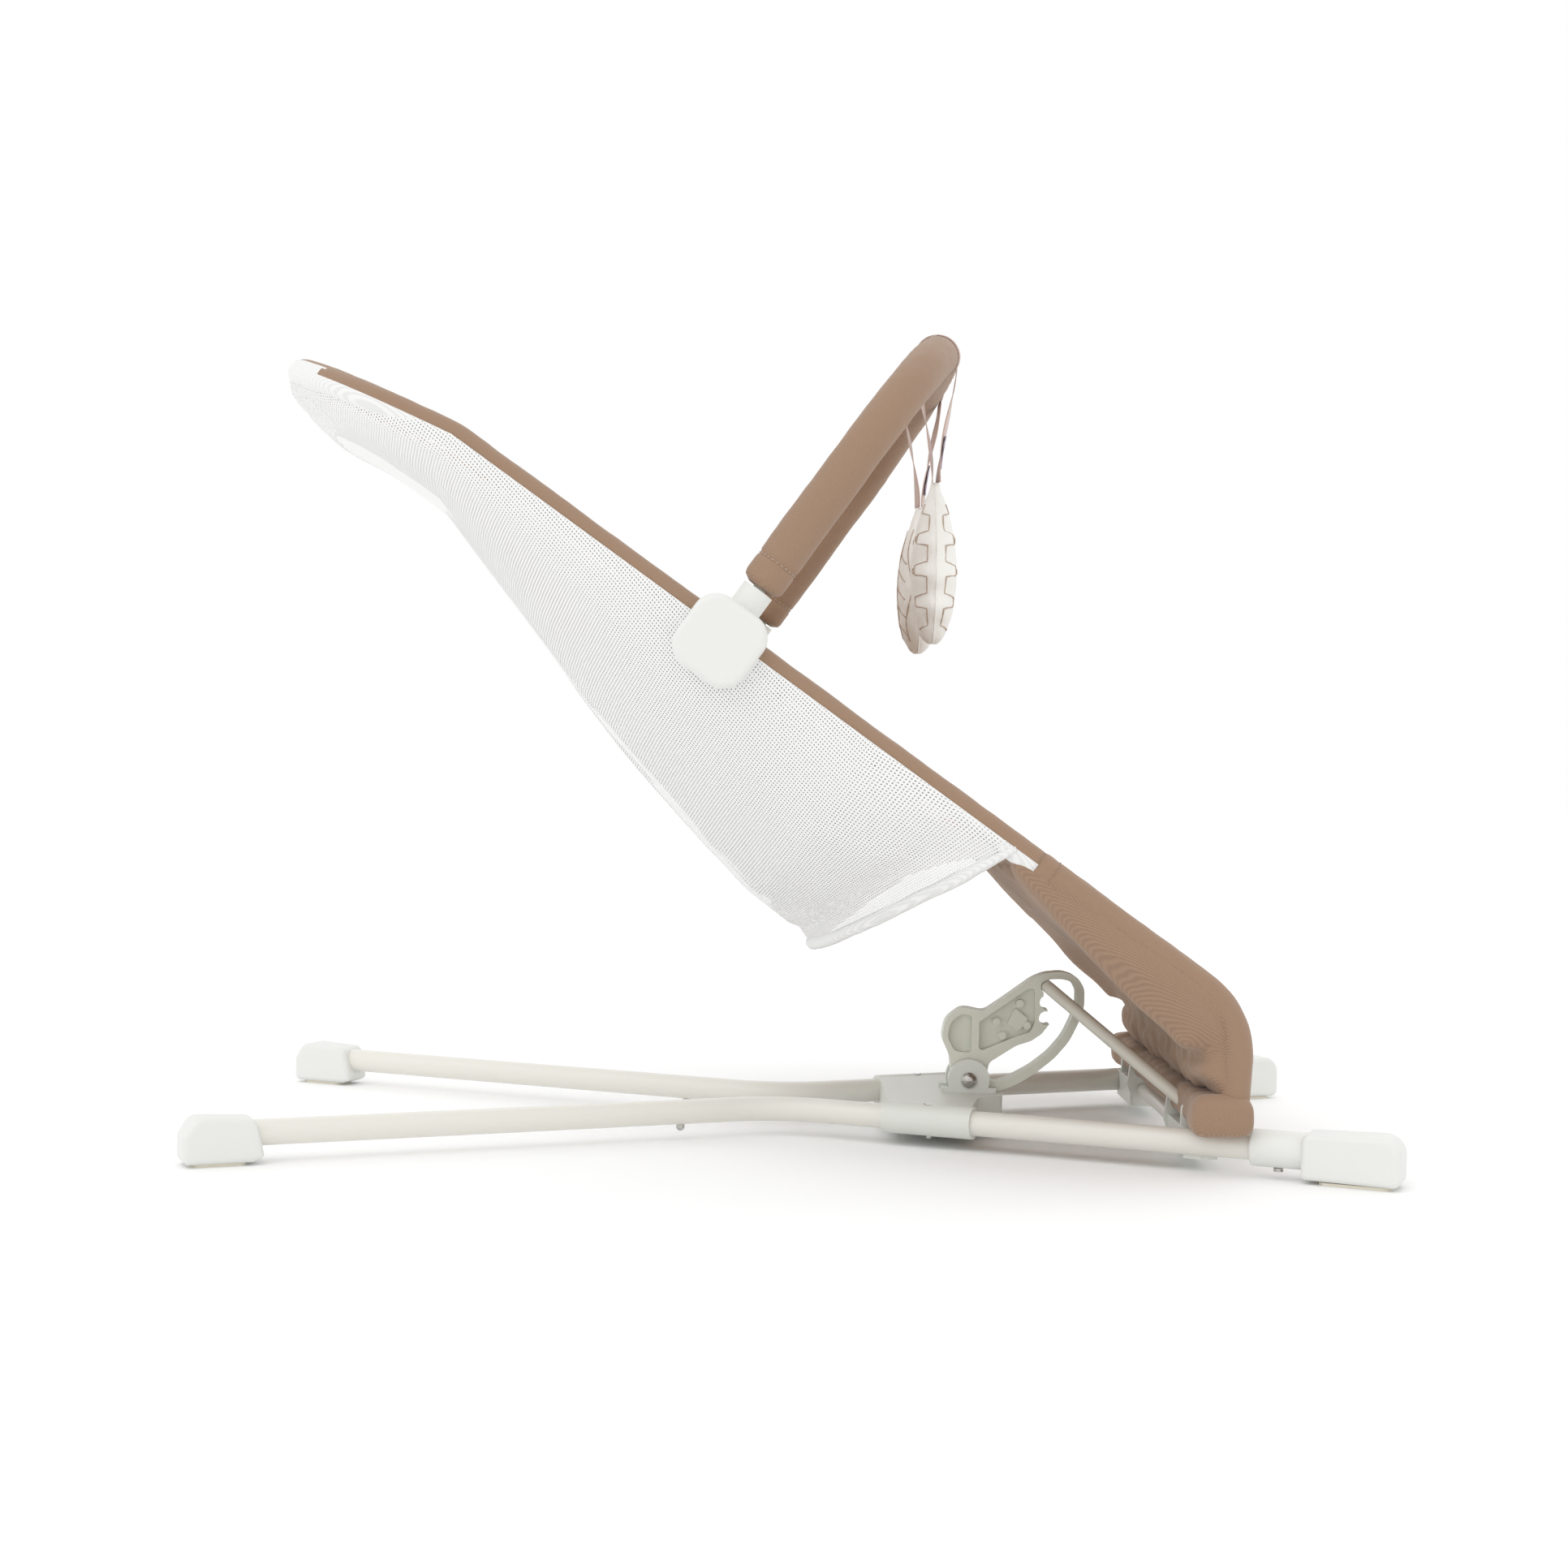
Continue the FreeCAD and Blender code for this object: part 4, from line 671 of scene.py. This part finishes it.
def stitches(name, places, key, body, slot, length=0.0026, radius=0.00045):
    """A row of stitches: each place is (point, direction, outward)."""
    made = bmesh.new()
    for point, direction, outward in places:
        side = direction.cross(outward).normalized()
        rings = []
        for k, (share, size) in enumerate(((-0.5, 0.35), (-0.3, 1.0), (0.3, 1.0), (0.5, 0.35))):
            centre = point + direction * (share * length) + outward * (0.0003 if 0 < k < 3 else -0.0001)
            rings.append([made.verts.new(centre + side * (math.cos(a) * radius * size)
                                         + outward * (math.sin(a) * radius * size))
                          for a in (math.pi * 2 * i / 6 for i in range(6))])
        for first, second in zip(rings, rings[1:]):
            for i in range(6):
                made.faces.new((first[i], first[(i + 1) % 6], second[(i + 1) % 6], second[i]))
        made.faces.new(rings[0][::-1])
        made.faces.new(rings[-1])
    mesh = bpy.data.meshes.new(name)
    made.to_mesh(mesh)
    made.free()
    row = link(name, mesh)
    recalculate(row)
    dress(row, key)
    attach(row, body, slot)
    return row


def ring_places(centre, axis, radius, count, first=0.0, last=2 * math.pi):
    """Stitch places round a tube."""
    seed = Vector((0, 1, 0))
    across = (seed - axis * seed.dot(axis)).normalized()
    upward = axis.cross(across)
    places = []
    for i in range(count):
        angle = first + (last - first) * i / count
        outward = across * math.cos(angle) + upward * math.sin(angle)
        direction = axis.cross(outward).normalized()
        places.append((centre + outward * radius, direction, outward))
    return places


CASING_SIDES = 32
SEWN_FROM_END = 0.0135


def make_casings():
    hoop = frame_path(lower=False)
    upper = sweep_mesh("casing_upper", hoop, wrinkled(CASING_RADIUS, 0.0006, 3.0), CASING_SIDES)
    dress(upper, "twill")
    whiten_underside(upper)
    attach(upper, "seat", "brown_twill", "tube_casing_upper")
    for side, sign in (("left", 1), ("right", -1)):
        path = [Vector((p.x, sign * p.y, p.z)) for p in frame_path(lower=True) if p.z > 0.056][::-1]

        def folded_end(share, angle, travelled):
            lip = 0.0009 * min(1.0, travelled / 0.0015) ** 0.5
            pinch = 0.0009 * math.exp(-((travelled - SEWN_FROM_END) / 0.0014) ** 2)
            return wrinkled(CASING_RADIUS + lip - pinch - 0.0003, 0.0007, 9.0)(share, angle, travelled)
        sleeve = sweep_mesh(f"casing_{side}", path, folded_end, CASING_SIDES)
        dress(sleeve, "twill")
        attach(sleeve, "seat", "brown_twill", f"tube_casing_{side}")
        axis = (path[8] - path[0]).normalized()
        sewn = ring_places(path[0] + axis * SEWN_FROM_END, axis, CASING_RADIUS + 0.0002, 18)
        stitches(f"casing_stitches_{side}", sewn,
                 "thread", "seat", "brown_twill")


# ---------------------------------------------------------------- mesh sling
SLING_OUTSET = CASING_RADIUS + 0.0008


def sling_surface(along, across):
    """The net: the hammock, drawn out in front to a free edge that hangs between the side tubes."""
    if along <= LAST_ROW:
        return hammock(along, across, SLING_OUTSET)
    sideways = math.sin(across * math.pi / 2)
    share = ((along - LAST_ROW) / (HEM_ALONG - LAST_ROW)) ** 1.5
    centre, half_width, heading = seat_place(along + HEM_REACH * sideways ** 2 * share, SLING_OUTSET)
    start = smooth_table(DEPTHS, LAST_ROW) * math.cos(across * math.pi / 2)
    depth = start + (HEM_DEPTH * (1 - sideways ** 2) - start) * share
    spot = centre + Vector((heading.z, 0, -heading.x)) * depth
    spot.y = half_width * sideways
    return spot


def sling_point(along, across):
    """The net with the slight hollows where it hangs, and a dip before the hem's roll."""
    fade = max(0.0, math.cos(across * math.pi / 2)) ** 0.5
    crease = noise.noise(Vector((along * 5, across * 9, 1.7))) * 0.0022 + noise.noise(
        Vector((along * 16, across * 22, 5.1))) * 0.0008
    crease += 0.0030 * math.exp(-((along - HEM_ALONG + 0.016) / 0.006) ** 2)
    limit = max(min(across, 0.97), -0.97)
    lengthwise = sling_surface(along + 0.003, limit) - sling_surface(along - 0.003, limit)
    sideways = sling_surface(along, limit + 0.01) - sling_surface(along, limit - 0.01)
    return sling_surface(along, across) + lengthwise.cross(sideways).normalized() * (crease * fade)


def make_sling():
    count_along, count_across = 190, 121
    alongs = [-0.0111 + (HEM_ALONG + 0.0111) * (i / (count_along - 1)) ** 1.12 for i in range(count_along)]
    acrosses = spread(-1, 1, count_across)
    rows, uv = [], []
    for along in alongs:
        row = [sling_point(along, across) for across in acrosses]
        rows.append(row)
        middle = count_across // 2
        reach = [0.0] * count_across
        for j in range(middle + 1, count_across):
            reach[j] = reach[j - 1] + (row[j] - row[j - 1]).length
        for j in range(middle - 1, -1, -1):
            reach[j] = reach[j + 1] - (row[j + 1] - row[j]).length
        uv.append(reach)
    lengths = [0.0]
    quarter = count_across // 4
    for i in range(1, count_along):
        lengths.append(lengths[-1] + (rows[i][quarter] - rows[i - 1][quarter]).length)
    pairs = [[(x + 1.0, lengths[i] + 1.0) for x in uv[i]] for i in range(count_along)]
    sling = grid_mesh("sling_net", rows, uv=pairs)
    dress(sling, "net")
    hem_path = resampled(rows[-1], 0.004)
    length = sum((b - a).length for a, b in zip(hem_path, hem_path[1:]))

    def roll(share, angle, travelled):
        taper = min(1.0, min(travelled, length - travelled) / 0.05) ** 0.5
        return wrinkled(0.0016 + 0.0036 * taper, 0.0005, 2.0)(share, angle, travelled)
    hem = sweep_mesh("sling_hem", hem_path, roll, 16)
    dress(hem, "hem")
    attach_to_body(sling, "seat")
    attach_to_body(hem, "seat")
    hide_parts("mesh_sling")


# ---------------------------------------------------------------- padded liner
PAD_OUTSET = -0.0105
LINER_END = 0.806
QUILT_LINES = [0.075, 0.165, 0.255, 0.345, 0.435, 0.520]


def pad_height(along, across):
    """Thickness of the liner: full in the channels, thin at the seams and the edge."""
    edge = max(0.0, 1 - abs(across)) ** 0.35
    head = min(1.0, max(0.0, (along - 0.012) / 0.03)) ** 0.5
    foot = min(1.0, max(0.0, (LINER_END - along) / 0.03)) ** 0.5
    ends = head * foot
    return 0.0062 + 0.0078 * min(edge * 1.35, 1.0) * ends


def quilt_groove(along, across):
    """Depth of the sewn channels at a place of the liner."""
    depth = 0.0
    for line in QUILT_LINES:
        away = abs(along - line - 0.018 * across * across)
        depth = max(depth, math.exp(-(away / 0.0035) ** 2))
    for offset in (-0.36, 0.36):
        away = abs(across - offset) * 0.25
        depth = max(depth, math.exp(-(away / 0.0035) ** 2))
    return depth


def nearest_place(spot):
    """Where a point lies on the hammock, as (along, across)."""
    relative = spot - HEAD_BEND
    along = HEAD_RUN + relative.dot(DOWN_SEAT)
    if along < HEAD_RUN:
        along = (spot - HEAD_CORNER).dot(HEAD_HEADING)
    _, half_width, _ = seat_place(max(along, -0.009), PAD_OUTSET)
    across = math.asin(max(-1.0, min(1.0, spot.y / max(half_width, 0.01)))) / (math.pi / 2)
    return along, across


def make_liner():
    alongs = spread(0.014, LINER_END, 120)
    acrosses = spread(-0.985, 0.985, 61)
    liner = closed_pad("seat_liner", alongs, acrosses, PAD_OUTSET, lambda along, across: 0.0050, pad_height)
    inflate(liner, 0.005, 4.0, 0.006)
    for v in liner.data.vertices:
        along, across = nearest_place(v.co)
        if not 0.02 < along < 0.80:
            continue
        normal = hammock_normal(along, across, PAD_OUTSET)
        height = (v.co - hammock(along, across, PAD_OUTSET)).dot(normal)
        if height > 0.008:
            v.co -= normal * (quilt_groove(along, across) * min(height - 0.0065, 0.006))
    subdivide(liner)
    liner.data.materials.clear()
    liner.data.materials.append(MATERIALS["pad"])
    liner.data.materials.append(MATERIALS["lining"])
    for face in liner.data.polygons:
        along, across = nearest_place(face.center)
        along = min(max(along, 0.0), 0.83)
        if face.normal.dot(hammock_normal(along, across, PAD_OUTSET)) < -0.25 and along < 0.649:
            face.material_index = 1
    attach(liner, "seat", "pad_twill", "seat_pad")


# ---------------------------------------------------------------- front panel
# x and z of the side tube's line past the joint, in metres; then in millimetres the panel's depth behind it at
# the sides and in the middle, and its thickness in the middle
PANEL_ROWS = [(0.158, 0.2349, 10, 12, 4), (0.178, 0.2208, 15, 15, 5), (0.2000, 0.2053, 21, 20, 5),
              (0.2250, 0.1876, 27, 22, 5), (0.248, 0.1714, 32, 23, 5), (0.2680, 0.1573, 36, 24, 6),
              (0.2860, 0.1440, 38, 26, 12), (0.3010, 0.1318, 39, 28, 25), (0.3120, 0.1185, 38, 29, 34),
              (0.3180, 0.1080, 33, 29, 36), (0.3210, 0.0985, 25, 28, 35), (0.3222, 0.0920, 14, 24, 31),
              (0.3222, 0.0855, 23, 26, 33), (0.3215, 0.0780, 27, 28, 35), (0.3205, 0.0695, 24, 26, 33),
              (0.3190, 0.0620, 14, 20, 24), (0.3180, 0.0560, 12, 16, 18)]


def panel_row(share):
    """Interpolated row of the panel: tube point, direction behind it, and the three sizes."""
    span = share * (len(PANEL_ROWS) - 1)
    index = min(int(span), len(PANEL_ROWS) - 2)
    b = span - index
    first, second = PANEL_ROWS[index], PANEL_ROWS[index + 1]
    before = PANEL_ROWS[max(index - 1, 0)]
    after = PANEL_ROWS[min(index + 2, len(PANEL_ROWS) - 1)]
    values = [0.5 * (2 * p + (q - o) * b + (2 * o - 5 * p + 4 * q - r) * b * b
                     + (3 * p - o - 3 * q + r) * b ** 3)
              for o, p, q, r in zip(before, first, second, after)]
    run = Vector((after[0] - before[0], 0, after[1] - before[1])).normalized()
    behind = Vector((run.z, 0, -run.x))
    return Vector((values[0], 0, values[1])), behind, [v * MM for v in values[2:]]


def panel_faces(share, across):
    """Back and front points of the panel at a place."""
    tube, behind, (wing, middle, thickness) = panel_row(share)
    half = frame_half_width(min(tube.x, KNEE.x)) + CASING_RADIUS + 0.0006
    r = abs(across)
    rim = math.sqrt(max(0.0, 1 - ((r - 0.925) / 0.075) ** 2)) if r > 0.925 else 1.0
    inner = 1 - smooth_step(0.70, 0.93, r)
    depth = (wing + (middle - wing) * inner) * rim
    low = smooth_step(0.55, 0.95, share)
    gather = math.sin(across * 46 + 3.0 * math.sin(share * 11 + across * 3)) * 0.0022 * low * inner
    soft = noise.noise(Vector((share * 8, across * 7, 0.3))) * 0.0026
    tuck = 0.0055 * math.exp(-(across / 0.045) ** 2) * low
    depth += (gather + soft - tuck) * rim
    front = depth - max(thickness * (1 - r ** 8), 0.006)
    back = tube + behind * depth
    ahead = tube + behind * front
    back.y = half * across
    ahead.y = (half - 0.0065) * across
    return back, ahead


def make_front_panel():
    shares, acrosses = spread(0, 1, 110), spread(-1, 1, 121)
    lower, upper = [], []
    for share in shares:
        pairs = [panel_faces(share, across) for across in acrosses]
        lower.append([pair[0] for pair in pairs])
        upper.append([pair[1] for pair in pairs])
    panel = solid_between("foot_panel", lower, upper)
    inflate(panel, 0.004, 2.5, 0.004)
    for v in panel.data.vertices:
        if v.co.z < 0.16:
            fold = noise.noise(Vector((v.co.x * 60 + v.co.z * 60, v.co.y * 26, v.co.z * 18 + 4)))
            v.co += v.normal * (fold * 0.0016)
    subdivide(panel)
    dress(panel, "panel")
    attach(panel, "seat", "brown_twill", "front_panel")
    make_bar_sleeve()


SLEEVE_X, SLEEVE_Z = 0.3078, 0.0455


def make_bar_sleeve():
    """The panel's puffy lower hem, wrapped round the bottom bar and gathered along its seam."""
    half, steps, sides, rows = 0.2065, 140, 40, []
    for j in range(steps + 1):
        y = -half + 2 * half * j / steps
        end = min(1.0, (half - abs(y)) / 0.010)
        size = 0.55 + 0.45 * math.sqrt(max(0.0, 1 - (1 - end) ** 2))
        over_clip = smooth_step(0.168, 0.182, abs(y))
        squareness = 1 - 0.42 * over_clip
        ring = []
        for k in range(sides):
            angle = 2 * math.pi * k / sides
            pucker = 0.0012 * math.sin(y * 210 + 2.0 * math.sin(y * 37)) * max(0.0, math.sin(angle)) ** 2
            soft = noise.noise(Vector((y * 22, math.cos(angle) * 1.5, math.sin(angle) * 1.5))) * 0.0016
            corner = 0.0014 * math.cos(4 * angle) * (1 - over_clip)
            wide = 0.0192 + 0.0036 * over_clip - corner + pucker + soft
            tall = 0.0142 + 0.0012 * over_clip - corner + pucker + soft
            reach = math.copysign(abs(math.cos(angle)) ** squareness, math.cos(angle)) * wide * size
            rise = math.copysign(abs(math.sin(angle)) ** squareness, math.sin(angle)) * tall * size
            x = SLEEVE_X + 0.0016 * over_clip + reach
            ring.append(Vector((x, y, SLEEVE_Z - 0.0008 * over_clip + rise)))
        rows.append(ring)
    sleeve = grid_mesh("bar_sleeve", rows, closed_rows=True)
    with editing(sleeve) as edit:
        for start in (0, steps * sides):
            edit.faces.new([edit.verts[start + k] for k in range(sides)]).smooth = True
        bmesh.ops.recalc_face_normals(edit, faces=edit.faces)
    subdivide(sleeve)
    dress(sleeve, "panel")
    attach(sleeve, "seat", "brown_twill")


# ---------------------------------------------------------------- harness
STRAP_LIFT = 0.0185


def strap_on_liner(name, alongs, acrosses, lift):
    rows = [[above_hammock(along, across, PAD_OUTSET, lift(along, across)) for across in acrosses]
            for along in alongs]
    strap = grid_mesh(name, rows)
    thicken(strap, 0.0016, 0.0)
    bevelled = strap.modifiers.new("soft", "BEVEL")
    bevelled.width = 0.0004
    bevelled.segments = 2
    apply_modifiers(strap)
    return dress(strap, "webbing")


def make_harness():
    crotch = strap_on_liner("strap_crotch", spread(0.574, 0.660, 40), spread(-0.085, 0.085, 9),
                            lambda along, across: STRAP_LIFT + 0.003 * max(0.0, (0.594 - along) / 0.02))
    attach(crotch, "seat", "webbing", "crotch_strap")
    for side, sign in (("left", 1), ("right", -1)):
        places = spread(0.542, 0.568, 8)
        waist = strap_on_liner(f"strap_waist_{side}", places, [sign * a for a in spread(0.2, 0.86, 50)],
                               lambda along, across: STRAP_LIFT - 0.004 * abs(across))
        attach(waist, "seat", "webbing", f"waist_strap_{side}")


# ---------------------------------------------------------------- toy bar
ARCH_HEIGHT, ARCH_SHOULDER, COVER_START, COVER_RADIUS = 0.285, 0.224, 0.048, 0.016


def arch_path(start):
    split = MID_HALF_WIDTH
    points = []
    for up, y in ((start, split), (ARCH_SHOULDER, split), (ARCH_HEIGHT, 0.088), (ARCH_HEIGHT, -0.088),
                  (ARCH_SHOULDER, -split), (start, -split)):
        spot = HUB_CENTRE + UP_SEAT * up
        spot.y = y
        points.append(spot)
    return rounded_path(points, [0, 0.108, 0.240, 0.240, 0.108, 0], 0.003)


COVER_SEAM = 0.021


def make_bar_cover():
    path = arch_path(COVER_START)
    length = sum((b - a).length for a, b in zip(path, path[1:]))

    def radius(share, angle, travelled):
        end = min(travelled, length - travelled)
        rounding = min(1.0, end / 0.007)
        lip = COVER_RADIUS * (0.62 + 0.38 * math.sqrt(max(0.0, 1 - (1 - rounding) ** 2)))
        pinch = 0.0012 * math.exp(-((end - COVER_SEAM) / 0.0016) ** 2)
        return lip - pinch + wrinkled(0.0, 0.0008, 4.0)(share, angle, travelled) * rounding
    cover = sweep_mesh("bar_cover", path, radius, 36)
    dress(cover, "twill")
    attach(cover, "toy_bar", "brown_twill", "toy_bar_cover")
    for side, end in (("left", path), ("right", path[::-1])):
        axis = (end[8] - end[0]).normalized()
        sewn = ring_places(end[0] + axis * COVER_SEAM, axis, COVER_RADIUS - 0.0009, 24)
        stitches(f"bar_cover_stitches_{side}", sewn,
                 "light_thread", "toy_bar", "brown_twill")
    return path


BAR_SLANT = math.tan(math.radians(13.3))


def make_ribbon(side, sign, bar):
    """A ribbon looped over the bar cover, its two ends meeting at the toy, with a fastening patch."""
    half, wrap, drop = 0.0065, COVER_RADIUS + 0.0008, 0.096
    turns = spread(math.radians(-28), math.radians(208), 30)
    around = [(wrap * math.cos(a), wrap * math.sin(a)) for a in turns]
    reach = [(wrap * 0.883 - (wrap * 0.883 - 0.0022) * smooth_step(0, 1, t) ** 0.8,
              -wrap * 0.47 - t * (drop - wrap * 0.47))
             for t in spread(0, 1, 26)]
    line = [(x, z) for x, z in reach[::-1]] + around[1:-1] + [(-x, z) for x, z in reach]
    rows = []
    for i, (x, z) in enumerate(line):
        free = smooth_step(-0.4 * wrap, -2.2 * wrap, z)
        twist = 0.0016 * math.sin(i * 0.21 + sign) * free
        row = []
        for t in (-1, -0.5, 0, 0.5, 1):
            slide = UP_SEAT * (-sign * t * half * BAR_SLANT * (1 - free))
            row.append(Vector((bar.x + x + twist * t, bar.y + t * half, bar.z + z)) + slide)
        rows.append(row)
    ribbon = grid_mesh(f"ribbon_{side}", rows)
    thicken(ribbon, 0.0007, 0.0)
    dress(ribbon, "ribbon")
    attach(ribbon, f"toy_{side}", "ribbon", f"toy_ribbon_{side}")
    patch_rows = []
    for t in spread(0.62, 0.90, 12):
        x, z = reach[int(t * 25)]
        patch_rows.append([Vector((bar.x + x + 0.0012, bar.y + w * 0.0052, bar.z + z))
                           for w in (-1, -0.5, 0, 0.5, 1)])
    patch = grid_mesh(f"ribbon_patch_{side}", patch_rows)
    thicken(patch, 0.0012, 0.0)
    dress(patch, "velcro")
    attach(patch, f"toy_{side}", "ribbon")
    return bar + Vector((0, 0, -drop))


LEAF_LENGTH = 0.123
LEAF_WIDTHS = [(0, 0.10), (0.06, 0.20), (0.16, 0.45), (0.32, 0.80), (0.48, 0.98), (0.62, 1.0), (0.78, 0.86),
               (0.90, 0.60), (0.97, 0.32), (1.0, 0.10)]


def leaf_face(share, sideways, face, lobed):
    """A point of the leaf: share runs down its length, sideways from seam to seam, face is front or back."""
    outline = smooth_table(LEAF_WIDTHS, share)
    height, waves = (0.07, 5) if lobed else (0.02, 3)
    ripple = 1 + height * math.cos(share * 2 * math.pi * waves)
    half_width = 0.036 * outline * ripple
    fullness = 0.0172 * outline ** 0.75
    if lobed:
        fullness *= 1 + 0.05 * math.cos(share * 2 * math.pi * 5) * sideways ** 2
    depth = fullness * max(0.0, 1 - abs(sideways) ** 2.4) ** 0.62
    return Vector((face * depth, half_width * sideways, -share * LEAF_LENGTH))


def make_leaf(side, top):
    """A stuffed leaf hanging face-on to the child, so that its seam shows from the side."""
    lobed = side == "right"
    shares = [0.5 - 0.5 * math.cos(math.pi * i / 60) for i in range(61)]
    ways = [math.sin(math.pi / 2 * a) for a in spread(-1, 1, 41)]
    front = [[leaf_face(share, way, 1, lobed) + top for way in ways] for share in shares]
    back = [[leaf_face(share, way, -1, lobed) + top for way in ways] for share in shares]
    leaf = solid_between(f"leaf_{side}", back, front)
    with editing(leaf) as edit:
        bmesh.ops.remove_doubles(edit, verts=edit.verts, dist=0.0003)
        bmesh.ops.recalc_face_normals(edit, faces=edit.faces)
    for v in leaf.data.vertices:
        pucker = noise.noise(v.co * 110) * 0.0007 + noise.noise(v.co * 300) * 0.0003
        v.co += v.normal * pucker
    subdivide(leaf)
    dress(leaf, "toy")
    attach(leaf, f"toy_{side}", "toy_fabric", f"leaf_toy_{side}")
    sew_outline(side, top, lobed)


def sew_outline(side, top, lobed):
    """Sewn lines on both faces: a wavy outline with small rings, or a midrib with side veins."""
    lines = []
    for face in (1, -1):
        for half in (1, -1):
            if lobed:
                wavy = []
                for i in range(90):
                    share = 0.14 + 0.78 * i / 89
                    notch = smooth_step(0.05, 0.65, math.cos(share * 2 * math.pi * 5.2 + 0.7))
                    wavy.append((share, half * (0.90 - 0.42 * notch)))
                lines.append((face, wavy))
                for centre in (0.36, 0.56):
                    ring = [(centre + 0.016 * math.cos(a), half * (0.40 + 0.07 * math.sin(a)))
                            for a in spread(0, 2 * math.pi, 14)]
                    lines.append((face, ring))
            else:
                lines.append((face, [(0.16 + 0.76 * t, half * (0.80 - 0.10 * math.sin(t * 9)))
                                     for t in spread(0, 1, 50)]))
                for start in (0.30, 0.42, 0.54, 0.66, 0.78):
                    lines.append((face, [(start + 0.10 * t, half * (0.06 + 0.62 * t))
                                         for t in spread(0, 1, 14)]))
        if not lobed:
            lines.append((face, [(0.16 + 0.74 * t, 0.03 * math.sin(t * 5)) for t in spread(0, 1, 40)]))
    pieces = []
    for number, (face, line) in enumerate(lines):
        path = []
        for share, way in line:
            spot = leaf_face(share, way, face, lobed) + top
            spot.x += face * 0.0003
            path.append(spot)
        pieces.append(sweep_mesh(f"sewn_{side}_{number}", path,
                                 lambda s, a, t: 0.00048 + 0.00008 * math.sin(t * 5000), 6))
    joined = bmesh.new()
    for piece in pieces:
        joined.from_mesh(piece.data)
        bpy.data.objects.remove(piece)
    mesh = bpy.data.meshes.new(f"leaf_sewing_{side}")
    joined.to_mesh(mesh)
    joined.free()
    sewing = link(f"leaf_sewing_{side}", mesh)
    dress(sewing, "light_thread")
    attach(sewing, f"toy_{side}", "toy_fabric")
    both_sides = ((1, spread(0.01, 0.99, 90)), (-1, spread(0.99, 0.01, 90)))
    seam_path = [leaf_face(share, way, 1, lobed) + top for way, run in both_sides for share in run]
    seam = sweep_mesh(f"leaf_seam_{side}", seam_path,
                      lambda s, a, t: 0.0007 + 0.00015 * math.sin(t * 2600), 8)
    dress(seam, "toy")
    attach(seam, f"toy_{side}", "toy_fabric")


def make_toys():
    for side, sign in (("left", 1), ("right", -1)):
        bar = Vector(JOINTS[f"toy_{side}_swing"]["pos_m"])
        top = make_ribbon(side, sign, bar)
        make_leaf(side, top)


# ---------------------------------------------------------------- floor, light and camera
FLOOR_RADIUS = 14


def make_stage():
    """A white floor and an even studio: the floor washes out to white except where the object touches it."""
    corners, edit = 120, bmesh.new()
    angles = [2 * math.pi * i / corners for i in range(corners)]
    edit.faces.new([edit.verts.new((FLOOR_RADIUS * math.cos(a), FLOOR_RADIUS * math.sin(a), 0)) for a in angles])
    mesh = bpy.data.meshes.new("studio_floor")
    edit.to_mesh(mesh)
    edit.free()
    floor = link("studio_floor", mesh)
    s = Shader("pale_floor")
    tone = s.mix(s.math("MULTIPLY", s.noise(0.6, 2), 0.1), (0.97, 0.97, 0.97, 1), (0.96, 0.96, 0.96, 1))
    floor.data.materials.append(s.finish(tone, 0.9, None, Specular_IOR_Level=0.05))
    world = bpy.data.worlds.new("studio")
    world.use_nodes = True
    world.node_tree.nodes["Background"].inputs["Color"].default_value = (1, 1, 1, 1)
    world.node_tree.nodes["Background"].inputs["Strength"].default_value = 1.0
    bpy.context.scene.world = world
    for name, turn, strength in (("key", (math.radians(28), math.radians(-24), 0), 0.42),
                                 ("back", (math.radians(-42), math.radians(20), 0), 0.14)):
        lamp = bpy.data.lights.new(name, "SUN")
        lamp.angle = math.radians(50)
        lamp.energy = strength
        shown = bpy.data.objects.new(name, lamp)
        shown.rotation_euler = turn
        bpy.context.scene.collection.objects.link(shown)
    bpy.context.scene.view_settings.view_transform = "Standard"
    bpy.context.scene.view_settings.look = "None"


def make_camera():
    lens = bpy.data.cameras.new("studio_camera")
    lens.lens = 53.10
    lens.sensor_width = 36
    camera = bpy.data.objects.new("studio_camera", lens)
    camera.location = (-0.021, -1.860, 0.3007)
    yaw, pitch, roll = math.radians(-0.336), math.radians(-0.738), math.radians(1.07)
    turn = (Matrix.Rotation(yaw, 4, "Z") @ Matrix.Rotation(math.pi / 2 + pitch, 4, "X")
            @ Matrix.Rotation(roll, 4, "Z"))
    camera.rotation_euler = turn.to_euler()
    bpy.context.scene.collection.objects.link(camera)
    bpy.context.scene.camera = camera


dress_cad_nodes()
make_camera()
make_stage()
make_casings()
make_sling()
make_liner()
make_front_panel()
make_harness()
make_bar_cover()
make_toys()
